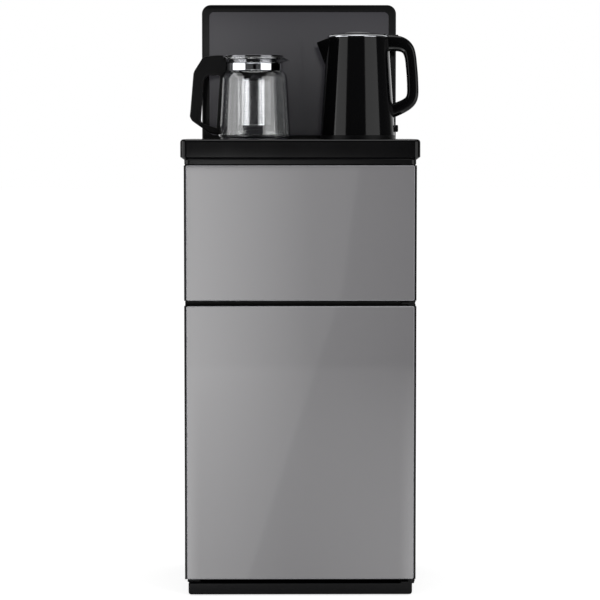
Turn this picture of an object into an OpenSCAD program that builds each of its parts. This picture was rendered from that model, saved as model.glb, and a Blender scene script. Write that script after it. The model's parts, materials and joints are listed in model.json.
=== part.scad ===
// Tea-bar water cooler: a floor-standing cabinet with two doors, a deck with a kettle dock and a
// warming plate, and an upright control tower. The bottle stands behind the lower door and a pump
// fills the kettle through its base. Millimetres. The origin is on the floor below the middle of
// the cabinet, +Z is up and the front faces -Y.

/* [Heights, from the floor up] */
// Height of the rubber feet below the plinth
foot_h = 2; // [1.5:0.5:5]
// Height of the plinth
plinth_h = 20; // [18:1:36]
// Height of the inset strip between the plinth and the lower door
strip_h = 9; // [8:1:18]
// Height of the lower door
lower_door_h = 496; // [470:1:540]
// Gap between the two doors
door_gap = 10; // [9:0.5:16]
// Height of the upper door
upper_door_h = 243; // [215:1:290]
// Gap between the upper door and the neck band
neck_gap = 2; // [1.6:0.2:4]
// Height of the neck band below the deck
neck_h = 8; // [7:0.5:12]
// Height of the deck
deck_h = 37; // [36:0.5:44]
// Height of the tower above the deck
tower_h = 253; // [230:1:300]

/* [Footprint] */
// Width of the cabinet over its side panels
cabinet_w = 416; // [400:1:440]
// Depth of the deck
deck_d = 350; // [344:1:380]
// How far the neck band is set in from the deck's edge
neck_inset = 7; // [5:0.5:9]
// How far the deck reaches past the cabinet at each side
deck_overhang = 7.5; // [7:0.5:14]
// How far the plinth is set in from the cabinet at each side
plinth_inset = 5; // [3:0.5:10]
// How far the plinth's front stands behind the deck's front edge
plinth_setback = 11; // [8:1:20]
// How far the rear panel stands in front of the deck's rear edge
rear_setback = 6; // [5:1:10]

/* [Doors] */
// How far a door reaches past the cabinet at each side
door_overlap = 1; // [0:0.5:3]
// Thickness of a door with its glass
door_t = 21; // [20:0.5:24]
// How far a door's face stands behind the deck's front edge
door_setback = 4; // [2:0.5:8]
// Thickness of the door glass
glass_t = 4; // [3:0.5:5]
// Width of the door frame that shows beside the glass
glass_border = 3.4; // [2.5:0.1:8]
// Gap between a door's back and the front frame, which the gasket fills
seal_gap = 2; // [1.5:0.1:3]
// Distance from a door's hinge edge to the hinge axis
hinge_edge = 8; // [7:0.5:9]
// Radius of the hinge pins
hinge_pin_r = 4; // [3:0.25:5]

/* [Cabinet] */
// Thickness of the cabinet's sheet steel
sheet_t = 1; // [0.8:0.1:1.5]
// Thickness of the front frame
frame_t = 4; // [3:0.5:6]
// Width of the front frame's uprights
stile_w = 26; // [24:1:30]
// Depth of the machine space between the cup compartment and the rear panel
rear_space = 76; // [74:1:110]
// Wall of the moulded cup compartment
liner_wall = 2.5; // [2:0.1:4]
// Wall of the deck, the neck and the tower shell
shell_wall = 3; // [2.5:0.1:4]
// Radius of the deck's upright corners
deck_corner_r = 12; // [10:0.5:18]
// Radius of the deck's top edge
deck_edge_r = 6; // [4:0.5:8]

/* [Tower] */
// Width of the tower
tower_w = 368.6; // [350:0.2:380]
// Depth of the tower
tower_d = 65; // [55:1:72]
// Radius of the tower's top corners
tower_r = 17; // [12:0.5:24]
// Width of the tower's frame that shows round its glass
tower_border = 14; // [12:0.5:20]
// Radius of the tower glass's corners
tower_glass_r = 9; // [5:0.5:14]
// Thickness of the tower glass
tower_glass_t = 3; // [2:0.5:4]

/* [Kettle] */
// Distance of the kettle's axis right of the middle
kettle_x = 106.7; // [100:0.1:112]
// Distance of both pots' axes in front of the middle
pot_setback = 40; // [30:1:50]
// Radius of the kettle at its foot
kettle_foot_r = 69.2; // [67:0.1:71]
// Radius of the kettle at its top edge
kettle_top_r = 56.5; // [56:0.1:60]
// Height of the kettle's body without its lid
kettle_h = 187.2; // [184:0.1:194]
// Wall of the kettle's body
kettle_wall = 2.5; // [2:0.1:3]
// Width of the kettle handle's grip, seen from the side
kettle_grip_w = 26; // [20:1:27]
// Travel of the lid button
lid_button_travel = 3; // [2:0.5:4]

/* [Teapot] */
// Distance of the teapot's axis left of the middle
teapot_x = 83.5; // [78:0.1:88]
// Radius of the teapot at its widest, near the foot
teapot_foot_r = 66.3; // [65:0.1:68]
// Radius of the teapot where the shoulder starts
teapot_shoulder_r = 60.5; // [58:0.1:63]
// Radius of the teapot's neck
teapot_neck_r = 51; // [50.5:0.1:52]
// Height of the teapot's straight side
teapot_side_h = 105; // [100:0.5:110]
// Wall of the teapot's glass
teapot_wall = 2; // [1.8:0.1:2.4]
// Height of the chrome band round the neck
band_h = 13.5; // [11:0.5:14]
// Radius of the infuser's tube
infuser_r = 31; // [24:0.1:34]
// Width of the teapot handle, seen from the side
teapot_grip_w = 20; // [16:1:24]

/* [Water path] */
// Outer radius of the hoses
hose_r = 3; // [2.6:0.1:3.2]
// Wall of the hoses
hose_wall = 1; // [0.8:0.1:1.1]
// Radius of the hoses' bends, along the middle
hose_bend_r = 24; // [20:0.5:24]
// Distance from the cabinet's side to the parked suction tube
lance_inset_x = 36; // [34:0.5:38]
// Distance from the rear panel to the parked suction tube
lance_inset_y = 40; // [38:0.5:42]
// Outer radius of the suction tube
lance_r = 5; // [4:0.1:6]
// Distance of the fill nozzle left of the kettle's axis
nozzle_offset = 38; // [37:0.5:42]

/* [Hidden] */
$fn = 64;

black = [0.03, 0.03, 0.03];
door_grey = [0.27, 0.27, 0.29];
steel = [0.7, 0.7, 0.72];
pale = [0.85, 0.85, 0.83];
clear = [0.8, 0.9, 0.95, 0.4];

// Clearances
seat = 0.3;         // between a seated piece and what carries it on another body
snug = 0.1;         // between two fixed pieces of one body
running = 0.05;     // round a pin that turns

// Levels, from the floor up
plinth_z = foot_h;
bay_z = plinth_z + plinth_h;
lower_door_z = bay_z + strip_h;
lower_door_top = lower_door_z + lower_door_h;
upper_door_z = lower_door_top + door_gap;
upper_door_top = upper_door_z + upper_door_h;
neck_z = upper_door_top + neck_gap;
deck_z = neck_z + neck_h;
deck_top = deck_z + deck_h;
tower_top = deck_top + tower_h;

// Widths and planes across the cabinet
half_w = cabinet_w/2;
deck_w = cabinet_w + 2*deck_overhang;
plinth_w = cabinet_w - 2*plinth_inset;
door_w = cabinet_w + 2*door_overlap;

// Planes, from the front back
deck_front = -deck_d/2;
plinth_front = deck_front + plinth_setback;
door_front = deck_front + door_setback;
door_back = door_front + door_t;
frame_front = door_back + seal_gap;
frame_back = frame_front + frame_t;
rear_face = deck_d/2 - rear_setback;
rear_inner = rear_face - sheet_t;
tower_setback = 5;
tower_back = deck_d/2 - tower_setback;
tower_front = tower_back - tower_d;

// Base
foot_r = 14;
foot_inset = 26;
plinth_wall = 5;
stem_r = 4;
stem_h = 12;
plinth_edge_r = 5;
pan_t = 3;
foot_boss_r = 8;
plinth_back = rear_inner - 4;
strip_inset = 2.7;
strip_w = cabinet_w - 2*strip_inset;
strip_bar = stile_w - strip_inset;

// Front frame and the openings behind the doors
opening_w = cabinet_w - 2*stile_w;
rail_lap = 11;              // how far a rail reaches behind a door's edge
top_rail_lap = 16;
bay_top = lower_door_top - rail_lap;
cup_z = upper_door_z + rail_lap;
cup_top = upper_door_top - top_rail_lap;
flange_w = 15;

// Divider shelf between the bottle bay and the cup compartment
shelf_t = 1.2;
shelf_z = lower_door_top - 7;
shelf_top = shelf_z + shelf_t;
shelf_flange = 15;
shelf_front = frame_back + sheet_t + 0.2;
shelf_back = rear_inner - sheet_t - 0.3;
cup_back = rear_inner - rear_space;
liner_back = cup_back + liner_wall;
leg_x = opening_w/2 - 62;
leg_t = 4;

// Neck pan and deck
neck_w = deck_w - 2*neck_inset;
neck_d = deck_d - 2*neck_inset;
neck_floor = 2.5;
neck_corner_r = deck_corner_r - 2;
deck_plate = 4;
cavity_top = deck_top - deck_plate;
deck_slope_h = 5;
wall_lap = 1;               // a wall's part that stands on the rim below it

// Doors
glass_w = door_w - 2*glass_border;
glass_proud = 0.5;
glass_corner_r = 3.5;
glass_seat = door_front + glass_t;
recess_side = 34;
recess_depth = 9;
gasket_w = 6;
gasket_side = 12;           // from a door's side edge to its gasket
gasket_end = 2.5;           // from a door's top or bottom edge to its gasket
hinge_x = door_w/2 - hinge_edge;
hinge_y = door_back - 10;
bush_r = hinge_pin_r + 2;
bush_flange_r = hinge_pin_r + 3;
bush_h = 15;
pin_reach = 14;
bracket_t = 3;
mid_bracket_z = lower_door_top + (door_gap - bracket_t)/2;
top_bracket_t = neck_gap - 0.4;
bracket_back = frame_front;
plate_l = 18;
plate_front = 6;
mid_foot_l = 40;
mid_foot_t = 1.6;
grip_h = 90;                // finger slot in a door's free edge
grip_w = 10;
grip_depth = 10;

// Tower
tower_glass_w = tower_w - 2*tower_border;
tower_glass_foot = 6;        // from the deck up to the glass
top_border_share = 0.95;     // the frame is a little narrower above the glass than beside it
tower_glass_z = deck_top + tower_glass_foot;
tower_glass_top = tower_top - top_border_share*tower_border;
tower_wall_y = tower_front + tower_glass_t + 0.5;
tower_inner_y = tower_wall_y + 2.5;
cover_t = 3;
cover_y = tower_back - cover_t;
cover_gap = 0.3;
tower_boss_x = tower_w/2 - 14;
tower_boss_r = 6;
tower_boss_low = 30;         // from the deck up to the lowest cover screws
tower_boss_high = 24;        // from the tower's top down to the highest
tower_screw_r = 2;
tower_screw_l = 16;
screw_head_h = 2;
tower_bolt_r = 3;
tower_bolt_l = 15;           // above the deck's plate
bolt_head_r = 5.5;
bolt_head_h = 4;
bolt_boss_r = 7;
bolt_boss_h = 18;
cable_hole_r = 8;
tower_bolt_x = tower_w/2 - 64.3;
tower_bolt_y = [tower_inner_y + 13, cover_y - 13];
board_w = 140;
board_h = 80;
board_z = deck_top + 73;
board_t = 1.6;
standoff = 2;
board_post_r = 3;
board_post_x = board_w/2 - 5;
board_post_inset = 6;
display_w = 60;
display_h = 25;
display_lift = 28;           // from the board's lower edge to the display
chip_w = 24;
chip_t = 3;
relay_w = 20;
relay_h = 14;
relay_t = 12;

// Kettle dock, warming plate and what is below them
dock_depth = 1.5;
dock_z = deck_top - dock_depth;
dock_r = kettle_foot_r + 2.5;
kettle_y = -pot_setback;
kettle_z = dock_z + seat;
socket_flange_r = 24;
socket_flange_t = 2;
socket_body_r = 20;
socket_body_h = 24;
post_r = 8;
post_h = 16.5;
nozzle_x = kettle_x - nozzle_offset;
nozzle_flange_r = 8;
nozzle_post_r = 4.5;
nozzle_post_h = 6.8;
nozzle_bore_r = 1.2;
barb_h = 9;
warm_r = 62;
warm_t = 3;
warm_proud = 1;
warm_z = deck_top + warm_proud;
warm_hole_r = 57;
heater_in_r = 20;
heater_out_r = 46;
heater_t = 9;
clamp_t = 2;
clamp_w = 18;
clamp_boss_x = 64;
clamp_boss_r = 6;

// Kettle, in heights above its foot
base_ring_h = 8;
base_plate_t = 3;
spigot_h = 6;
pot_bottom = 27.2;
pot_wall = 0.8;
pot_gap = 6;                // from the kettle's outer face to the steel pot
pot_top = kettle_h - 1.2;
coupler_r = 22;
coupler_bore_r = post_r + 0.6;
coupler_h = 20;
valve_stem_r = 3;
valve_guide_z = 9.5;
valve_lift = 3;
rim_z = kettle_h + 0.2;
rim_h = 6.3;
rim_chamfer = 1.2;           // lets the lid's edge turn past the rim's inner edge
rim_inner_r = kettle_top_r - 6.7;
lid_r = rim_inner_r - 0.8;
lid_pin_r = 1.5;
lid_pin_x = rim_inner_r + 2.2;
lid_pin_z = rim_z + 3.1;
lid_lug_w = 24;
lid_ear_w = 4;
lid_disc_r = 24;
spout_reach = 16;           // from the kettle's side to the tip of its spout
spout_half_angle = 22;
spout_h = 45;
spout_drop = 10.5;
button_x = kettle_top_r + 6;
button_l = 12;
button_w = 12;
button_h = 8.5;
switch_pin_r = 2;
switch_pin_x = kettle_foot_r - 8.7;
switch_pin_z = 19.2;
switch_reach = 14.1;
switch_w = 12;
slot_z = 7;
slot_h = 22;

// Kettle handle, in distance from the kettle's axis and height above its foot
handle_top = kettle_h + 4;
handle_out_c = [75.3, kettle_h - 28];
handle_low_c = [80.3, 85.2];
handle_out_r = 32;
handle_in_c = [65.3, kettle_h - 46];
handle_in_r = 21;
handle_in_low_c = [77.3, 88.2];
handle_in_low_r = 14;

// Teapot, in heights above its foot
teapot_z = warm_z + seat;
teapot_foot_h = 7;
shoulder_h = 15.5;
neck_start = teapot_side_h + shoulder_h;
band_z = neck_start + 3.5;
lip_start = neck_start + 17.5;
lip_h = 9;
lip_flare = 5;
lip_edge = 5.5;
teapot_h = lip_start + lip_h + lip_edge;
pour_reach = 8.7;
infuser_wall = 0.8;
infuser_top = lip_start + 7.8;
infuser_flange_r = teapot_neck_r - teapot_wall + lip_flare*7.8/lip_h - 0.7;
infuser_neck_r = teapot_neck_r - teapot_wall - 2.5;
infuser_tube_top = 108.7;
infuser_bottom = 22.4;
funnel_top = neck_start + 3;
teapot_lid_z = infuser_top + infuser_wall + seat;
teapot_lid_r = teapot_neck_r - teapot_wall + lip_flare - 0.8;

// Teapot handle, in distance left of the axis and height above the foot
grip_top = teapot_h - 2.5;
grip_foot = 6;
grip_t = 18.4;
grip_reach = teapot_foot_r + 51.1;
grip_out_r = 21;
grip_out_c = [grip_reach - 26.9, teapot_side_h + 18];
grip_low_r = 18;
grip_low_c = [grip_reach - 16.4, 44];
grip_in_r = 10;
grip_in_c = [grip_reach - 33.4, teapot_side_h + 1];
grip_in_low_r = 8;
grip_in_low_c = [grip_reach - 26.4, 34];

// Water path
lance_x = half_w - lance_inset_x;
lance_y = rear_inner - lance_inset_y;
bore_r = hose_r - hose_wall;
barb_r = bore_r - 0.1;
cap_r = 30.5;
cap_h = 22;
cap_z = shelf_z - 46;
lance_foot_z = bay_z + 38;
pump_z = shelf_top + 10;
pump_inlet_z = pump_z;
pump_head_h = 34;
pump_head_w = 34;
motor_r = 15;
motor_l = 62;
bracket_inset = 8;
valve_z = shelf_top + 118;
valve_h = 40;
valve_w = 30;
hose_run_z = neck_z + neck_floor + 2 + hose_r;
nozzle_hose_top = cavity_top - 2;

// Power parts
power_x = half_w - 113;
power_w = 90;
power_h = 74;
power_gap = 26;              // room for the switch and the gland behind the box
vent_inset = 16;
vent_pitch = 10;
vent_w = 3;
gland_x = half_w - 58;
gland_z = shelf_top + 32;
gland_r = 8;
gland_flange_r = 11;
gland_bore_r = 4;
switch_x = half_w - 108;
switch_z = gland_z;
rocker_w = 12;
rocker_h = 22;
rocker_pin_r = 2;
rocker_tilt = 10;
rocker_face = 8.4;           // from the rocker's axis to its face

function kettle_r(h) = kettle_foot_r + (kettle_top_r - kettle_foot_r)*h/kettle_h;
function arc(c, r, from, to, n) =
    [for (i = [0:n]) c + r*[cos(from + (to - from)*i/n), sin(from + (to - from)*i/n)]];

// Shared shapes

// A sketch in X and Z, given thickness from the plane y0 back to y1
module slab_y(y0, y1) {
    translate([0, y1, 0])
        rotate([90, 0, 0])
            linear_extrude(y1 - y0)
                children();
}

// A sketch in Y and Z, given thickness from x0 to x1
module slab_x(x0, x1) {
    translate([x0, 0, 0])
        rotate([90, 0, 90])
            linear_extrude(x1 - x0)
                children();
}

module rounded_rect(w, d, r) {
    square([w - 2*r, d], center = true);
    square([w, d - 2*r], center = true);
    for (sx = [-1, 1], sy = [-1, 1])
        translate([sx*(w/2 - r), sy*(d/2 - r)])
            circle(r);
}

module block(x0, x1, y0, y1, z0, z1) {
    translate([x0, y0, z0])
        cube([x1 - x0, y1 - y0, z1 - z0]);
}

module rect_xz(x0, x1, z0, z1) {
    translate([x0, z0])
        square([x1 - x0, z1 - z0]);
}

// A cylinder along Y from y0 back to y1
module rod_y(x, z, r, y0, y1) {
    translate([x, y1, z])
        rotate([90, 0, 0])
            cylinder(r = r, h = y1 - y0);
}

module tube(r_out, r_in, h) {
    rotate_extrude()
        translate([r_in, 0])
            square([r_out - r_in, h]);
}

module hose_section() {
    translate([hose_bend_r, 0])
        difference() {
            circle(hose_r, $fn = 32);
            circle(bore_r, $fn = 32);
        }
}

// A quarter bend of hose: starts at the origin going up and ends going towards +X
module hose_bend() {
    translate([hose_bend_r, 0, 0])
        rotate([90, 0, 0])
            rotate([0, 0, 90])
                rotate_extrude(angle = 90)
                    hose_section();
}

module hose(h) {
    tube(hose_r, bore_r, h);
}

// Base

module foot_places() {
    for (sx = [-1, 1], y = [plinth_front + foot_inset, plinth_back - foot_inset])
        translate([sx*(plinth_w/2 - foot_inset), y, 0])
            children();
}

module base_pan() {
    color(black) {
        difference() {
            slab_y(plinth_front, plinth_back) {
                rect_xz(-plinth_w/2, plinth_w/2, plinth_z + plinth_edge_r, bay_z);
                rect_xz(-plinth_w/2 + plinth_edge_r, plinth_w/2 - plinth_edge_r, plinth_z, bay_z);
                for (sx = [-1, 1])
                    translate([sx*(plinth_w/2 - plinth_edge_r), plinth_z + plinth_edge_r])
                        circle(plinth_edge_r);
            }
            difference() {
                block(-plinth_w/2 + plinth_wall, plinth_w/2 - plinth_wall, plinth_front + plinth_wall,
                    plinth_back - plinth_wall, plinth_z - 1, bay_z - pan_t);
                foot_places()
                    cylinder(r = foot_boss_r, h = bay_z);
            }
            foot_places()
                translate([0, 0, plinth_z - 1])
                    cylinder(r = stem_r + snug, h = stem_h + 1.2);
        }
        translate([0, 0, bay_z])
            linear_extrude(strip_h)
                difference() {
                    translate([-strip_w/2, frame_front])
                        square([strip_w, rear_inner - 1 - frame_front]);
                    translate([-opening_w/2, frame_front - 1])
                        square([opening_w, rear_inner - 1 - strip_bar - frame_front + 1]);
                }
    }
}

module feet() {
    color([0.08, 0.08, 0.08])
        foot_places() {
            cylinder(r = foot_r, h = foot_h);
            cylinder(r = stem_r, h = foot_h + stem_h);
        }
}

// Cabinet shell

module side_panel(side) {
    x1 = half_w;
    color(black)
        mirror([side < 0 ? 1 : 0, 0, 0])
            translate([0, 0, lower_door_z])
                linear_extrude(neck_z - lower_door_z) {
                    translate([x1 - sheet_t, frame_back])
                        square([sheet_t, rear_inner - frame_back]);
                    translate([x1 - sheet_t - flange_w, frame_back])
                        square([sheet_t + flange_w, sheet_t]);
                    translate([x1 - sheet_t - flange_w, rear_inner - sheet_t])
                        square([sheet_t + flange_w, sheet_t]);
                }
}

module side_panel_left() {
    side_panel(-1);
}

module side_panel_right() {
    side_panel(1);
}

louvre_w = 70;
louvre_h = 4;
louvre_pitch = 12;
louvre_step = 120;           // between the middles of two columns of louvres
cover_louvre_w = 100;
panel_screw_r = 2;
panel_screw_rows = 4;
panel_screw_x = half_w - 9;
panel_screw_end = 30;        // from the panel's lower or upper edge to the nearest screw
louvre_low = 60;             // from the shelf up to the first louvre
louvre_high = 40;            // the rear panel's plain strip above the louvres

function panel_screw_z(row) =
    lower_door_z + panel_screw_end
        + row*(neck_z - lower_door_z - 2*panel_screw_end)/(panel_screw_rows - 1);

module rear_panel() {
    color([0.12, 0.12, 0.12])
        slab_y(rear_inner, rear_face)
            difference() {
                rect_xz(-half_w + 0.5, half_w - 0.5, lower_door_z, neck_z - 0.2);
                for (x = [-louvre_step, 0],
                        z = [shelf_top + louvre_low : louvre_pitch : neck_z - louvre_high])
                    rect_xz(x - louvre_w/2, x + louvre_w/2, z, z + louvre_h);
                translate([gland_x, gland_z])
                    circle(gland_r + snug);
                rect_xz(switch_x - rocker_w/2 - 3, switch_x + rocker_w/2 + 3,
                    switch_z - rocker_h/2 - 3, switch_z + rocker_h/2 + 3);
                for (sx = [-1, 1], row = [0 : panel_screw_rows - 1])
                    translate([sx*panel_screw_x, panel_screw_z(row)])
                        circle(panel_screw_r + snug);
            }
}

// Screws through the rear panel; their tips stop short of the side panels' rear flanges
module panel_screws() {
    color(steel)
        for (sx = [-1, 1], row = [0 : panel_screw_rows - 1]) {
            rod_y(sx*panel_screw_x, panel_screw_z(row), panel_screw_r, rear_inner, rear_face + 1);
            rod_y(sx*panel_screw_x, panel_screw_z(row), 2*panel_screw_r, rear_face,
                rear_face + screw_head_h);
        }
}

module front_frame() {
    color(black)
        slab_y(frame_front, frame_back)
            difference() {
                rect_xz(-half_w, half_w, lower_door_z, neck_z);
                rect_xz(-opening_w/2, opening_w/2, lower_door_z - 1, bay_top);
                rect_xz(-opening_w/2, opening_w/2, cup_z, cup_top);
            }
}

// Steel shelf over the bottle bay, with turned-up front and rear edges
module divider_shelf() {
    half = half_w - sheet_t - seat;
    color(steel)
        difference() {
            slab_x(-half, half) {
                translate([shelf_front, shelf_z])
                    square([shelf_back - shelf_front, shelf_t]);
                translate([shelf_front, shelf_z])
                    square([shelf_t, shelf_flange]);
                translate([shelf_back - shelf_t, shelf_z])
                    square([shelf_t, shelf_flange]);
            }
            translate([-lance_x, lance_y, shelf_z - 1])
                cylinder(r = hose_r + 1, h = shelf_t + 2);
        }
}

// Moulded lining of the cup compartment, open at the front, on two legs
module cup_liner() {
    half = opening_w/2;
    color(pale) {
        difference() {
            block(-half - liner_wall, half + liner_wall, frame_back + snug, liner_back,
                cup_z - liner_wall, cup_top + liner_wall);
            block(-half, half, frame_back - 1, cup_back, cup_z, cup_top);
        }
        for (sx = [-1, 1])
            block(sx*leg_x - leg_t/2, sx*leg_x + leg_t/2, frame_back + 14, cup_back - 10, shelf_top,
                cup_z - liner_wall);
    }
}

// Neck pan and deck

module deck_underpan() {
    color(black)
        difference() {
            translate([0, 0, neck_z])
                linear_extrude(neck_h)
                    rounded_rect(neck_w, neck_d, neck_corner_r);
            translate([0, 0, neck_z + neck_floor])
                linear_extrude(neck_h)
                    rounded_rect(neck_w - 2*shell_wall, neck_d - 2*shell_wall, neck_corner_r - shell_wall);
            translate([-lance_x + hose_bend_r/4, lance_y, neck_z - 1])
                linear_extrude(neck_floor + 2)
                    rounded_rect(hose_bend_r/2 + 2*hose_r + 2, 2*hose_r + 2, hose_r + 0.9);
            translate([power_x + power_w/2, tower_bolt_y[0], neck_z - 1])
                cylinder(r = cable_hole_r, h = neck_floor + 2);
        }
}

// One upright corner of the deck: sloped below, straight, then rounded into the top
module deck_corner() {
    rotate_extrude($fn = 48)
        polygon(concat(
            [[0, 0], [deck_corner_r - neck_inset, 0], [deck_corner_r, deck_slope_h]],
            arc([deck_corner_r - deck_edge_r, deck_h - deck_edge_r], deck_edge_r, 0, 90, 6),
            [[0, deck_h]]));
}

module tower_bolt_places() {
    for (sx = [-1, 1], y = tower_bolt_y)
        translate([sx*tower_bolt_x, y, 0])
            children();
}

module clamp_places() {
    for (sx = [-1, 1])
        translate([-teapot_x + sx*clamp_boss_x, -pot_setback, 0])
            children();
}

module deck() {
    color(black)
        difference() {
            union() {
                difference() {
                    hull()
                        for (sx = [-1, 1], sy = [-1, 1])
                            translate([sx*(deck_w/2 - deck_corner_r), sy*(deck_d/2 - deck_corner_r),
                                deck_z])
                                deck_corner();
                    translate([0, 0, deck_z - 1])
                        linear_extrude(cavity_top - deck_z + 1)
                            rounded_rect(neck_w - 2*shell_wall - 2*wall_lap,
                                neck_d - 2*shell_wall - 2*wall_lap, neck_corner_r - shell_wall);
                }
                clamp_places()
                    translate([0, 0, warm_z - warm_t - heater_t])
                        cylinder(r = clamp_boss_r, h = heater_t - 1 + 0.5);
            }
            translate([kettle_x, kettle_y, dock_z])
                cylinder(r = dock_r, h = 10, $fn = 96);
            translate([kettle_x, kettle_y, cavity_top - 1])
                cylinder(r = socket_body_r + snug, h = deck_plate + 2);
            translate([nozzle_x, kettle_y, cavity_top - 1])
                cylinder(r = nozzle_post_r + snug, h = deck_plate + 2);
            translate([-teapot_x, -pot_setback, warm_z - warm_t - snug])
                cylinder(r = warm_r + 0.4, h = 10, $fn = 96);
            translate([-teapot_x, -pot_setback, cavity_top - 1])
                cylinder(r = warm_hole_r, h = deck_plate + 2, $fn = 96);
            tower_bolt_places()
                translate([0, 0, cavity_top - 1])
                    cylinder(r = tower_bolt_r + 0.2, h = deck_plate + 2);
            translate([0, tower_bolt_y[1], cavity_top - 1])
                cylinder(r = cable_hole_r, h = deck_plate + 2);
        }
}

// Hinge pins on plates: one below the lower door, one between the doors, one above the upper door
module hinge_plate(z, t) {
    linear_extrude_at(z, t) {
        translate([hinge_x - plate_l, hinge_y])
            square([plate_l + bush_flange_r - 1, bracket_back - hinge_y - snug]);
        translate([hinge_x - plate_l, hinge_y - plate_front])
            square([plate_l, plate_front]);
        translate([hinge_x, hinge_y])
            circle(bush_flange_r - 1);
    }
}

module linear_extrude_at(z, t) {
    translate([0, 0, z])
        linear_extrude(t)
            children();
}

module hinge_brackets() {
    color(steel) {
        hinge_plate(bay_z, bracket_t);
        translate([hinge_x, hinge_y, bay_z])
            cylinder(r = hinge_pin_r, h = strip_h + pin_reach);
        hinge_plate(mid_bracket_z, bracket_t);
        block(hinge_x - mid_foot_l, hinge_x + hinge_pin_r, frame_front - mid_foot_t, frame_front - snug,
            lower_door_top + 1, upper_door_z - 1);
        translate([hinge_x, hinge_y, lower_door_top - pin_reach])
            cylinder(r = hinge_pin_r, h = door_gap + 2*pin_reach);
        hinge_plate(neck_z - top_bracket_t, top_bracket_t);
        translate([hinge_x, hinge_y, upper_door_top - pin_reach])
            cylinder(r = hinge_pin_r, h = neck_gap + pin_reach);
    }
}

// Doors

module door_plan() {
    translate([-door_w/2, door_front + glass_proud])
        square([door_w - hinge_edge, door_t - glass_proud]);
    translate([-door_w/2, door_front + glass_proud])
        square([door_w, door_t - glass_proud - hinge_edge]);
    translate([door_w/2 - hinge_edge, door_back - hinge_edge])
        circle(hinge_edge);
}

module door_frame(z0, h) {
    color(black)
        difference() {
            linear_extrude_at(z0, h)
                door_plan();
            slab_y(door_front - 1, glass_seat + snug)
                rect_xz(-glass_w/2 - snug, glass_w/2 + snug, z0 - 1, z0 + h + 1);
            block(-door_w/2 + recess_side, door_w/2 - recess_side, door_back - recess_depth,
                door_back + 1, z0 + recess_side, z0 + h - recess_side);
            block(-door_w/2 - 1, -door_w/2 + grip_depth, door_back - 3 - grip_w, door_back - 3,
                z0 + h/2 - grip_h/2, z0 + h/2 + grip_h/2);
            translate([hinge_x, hinge_y, z0 - 1])
                cylinder(r = bush_r + running, h = bush_h + 1 + running);
            translate([hinge_x, hinge_y, z0 + h - bush_h - running])
                cylinder(r = bush_r + running, h = bush_h + 1 + running);
        }
}

module door_glass(z0, h) {
    color(door_grey)
        slab_y(door_front, glass_seat)
            translate([0, z0 + h/2])
                rounded_rect(glass_w, h, glass_corner_r);
}

// Magnetic gasket, a flat rubber ring on the back of the door
module door_gasket(z0, h) {
    x = door_w/2 - gasket_side;
    color([0.1, 0.1, 0.1])
        slab_y(door_back, frame_front - seat)
            difference() {
                rect_xz(-x, x, z0 + gasket_end, z0 + h - gasket_end);
                rect_xz(-x + gasket_w, x - gasket_w, z0 + gasket_end + gasket_w,
                    z0 + h - gasket_end - gasket_w);
            }
}

// Nylon bushes: a plain top one, and a bottom one whose flange rests on the bracket
module door_bushes(z0, h, below, above) {
    color(pale)
        translate([hinge_x, hinge_y, 0]) {
            translate([0, 0, z0])
                tube(bush_r, hinge_pin_r + running, bush_h);
            translate([0, 0, z0 - below])
                tube(bush_flange_r, hinge_pin_r + running, below);
            translate([0, 0, z0 + h - bush_h])
                tube(bush_r, hinge_pin_r + running, bush_h);
            if (above > 0)
                translate([0, 0, z0 + h])
                    tube(bush_flange_r, hinge_pin_r + running, above);
        }
}

module upper_door_frame() {
    door_frame(upper_door_z, upper_door_h);
}

module upper_door_glass() {
    door_glass(upper_door_z, upper_door_h);
}

module upper_door_gasket() {
    door_gasket(upper_door_z, upper_door_h);
}

module upper_door_bushes() {
    door_bushes(upper_door_z, upper_door_h, (door_gap - bracket_t)/2 - seat, 0);
}

module lower_door_frame() {
    door_frame(lower_door_z, lower_door_h);
}

module lower_door_glass() {
    door_glass(lower_door_z, lower_door_h);
}

module lower_door_gasket() {
    door_gasket(lower_door_z, lower_door_h);
}

module lower_door_bushes() {
    door_bushes(lower_door_z, lower_door_h, strip_h - bracket_t - seat, (door_gap - bracket_t)/2 - seat);
}

// Tower

module tower_outline(inset) {
    half = tower_w/2 - inset;
    r = tower_r - inset;
    rect_xz(-half, half, deck_top + inset, tower_top - inset - r);
    rect_xz(-half + r, half - r, deck_top + inset, tower_top - inset);
    for (sx = [-1, 1])
        translate([sx*(half - r), tower_top - inset - r])
            circle(r);
}

module tower_glass_outline(grow) {
    translate([0, (tower_glass_z + tower_glass_top)/2])
        rounded_rect(tower_glass_w + 2*grow, tower_glass_top - tower_glass_z + 2*grow,
            tower_glass_r + grow);
}

module tower_boss_places() {
    for (sx = [-1, 1], z = [deck_top + tower_boss_low, deck_top + tower_h/2,
        tower_top - tower_boss_high])
        translate([sx*tower_boss_x, z])
            children();
}

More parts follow.
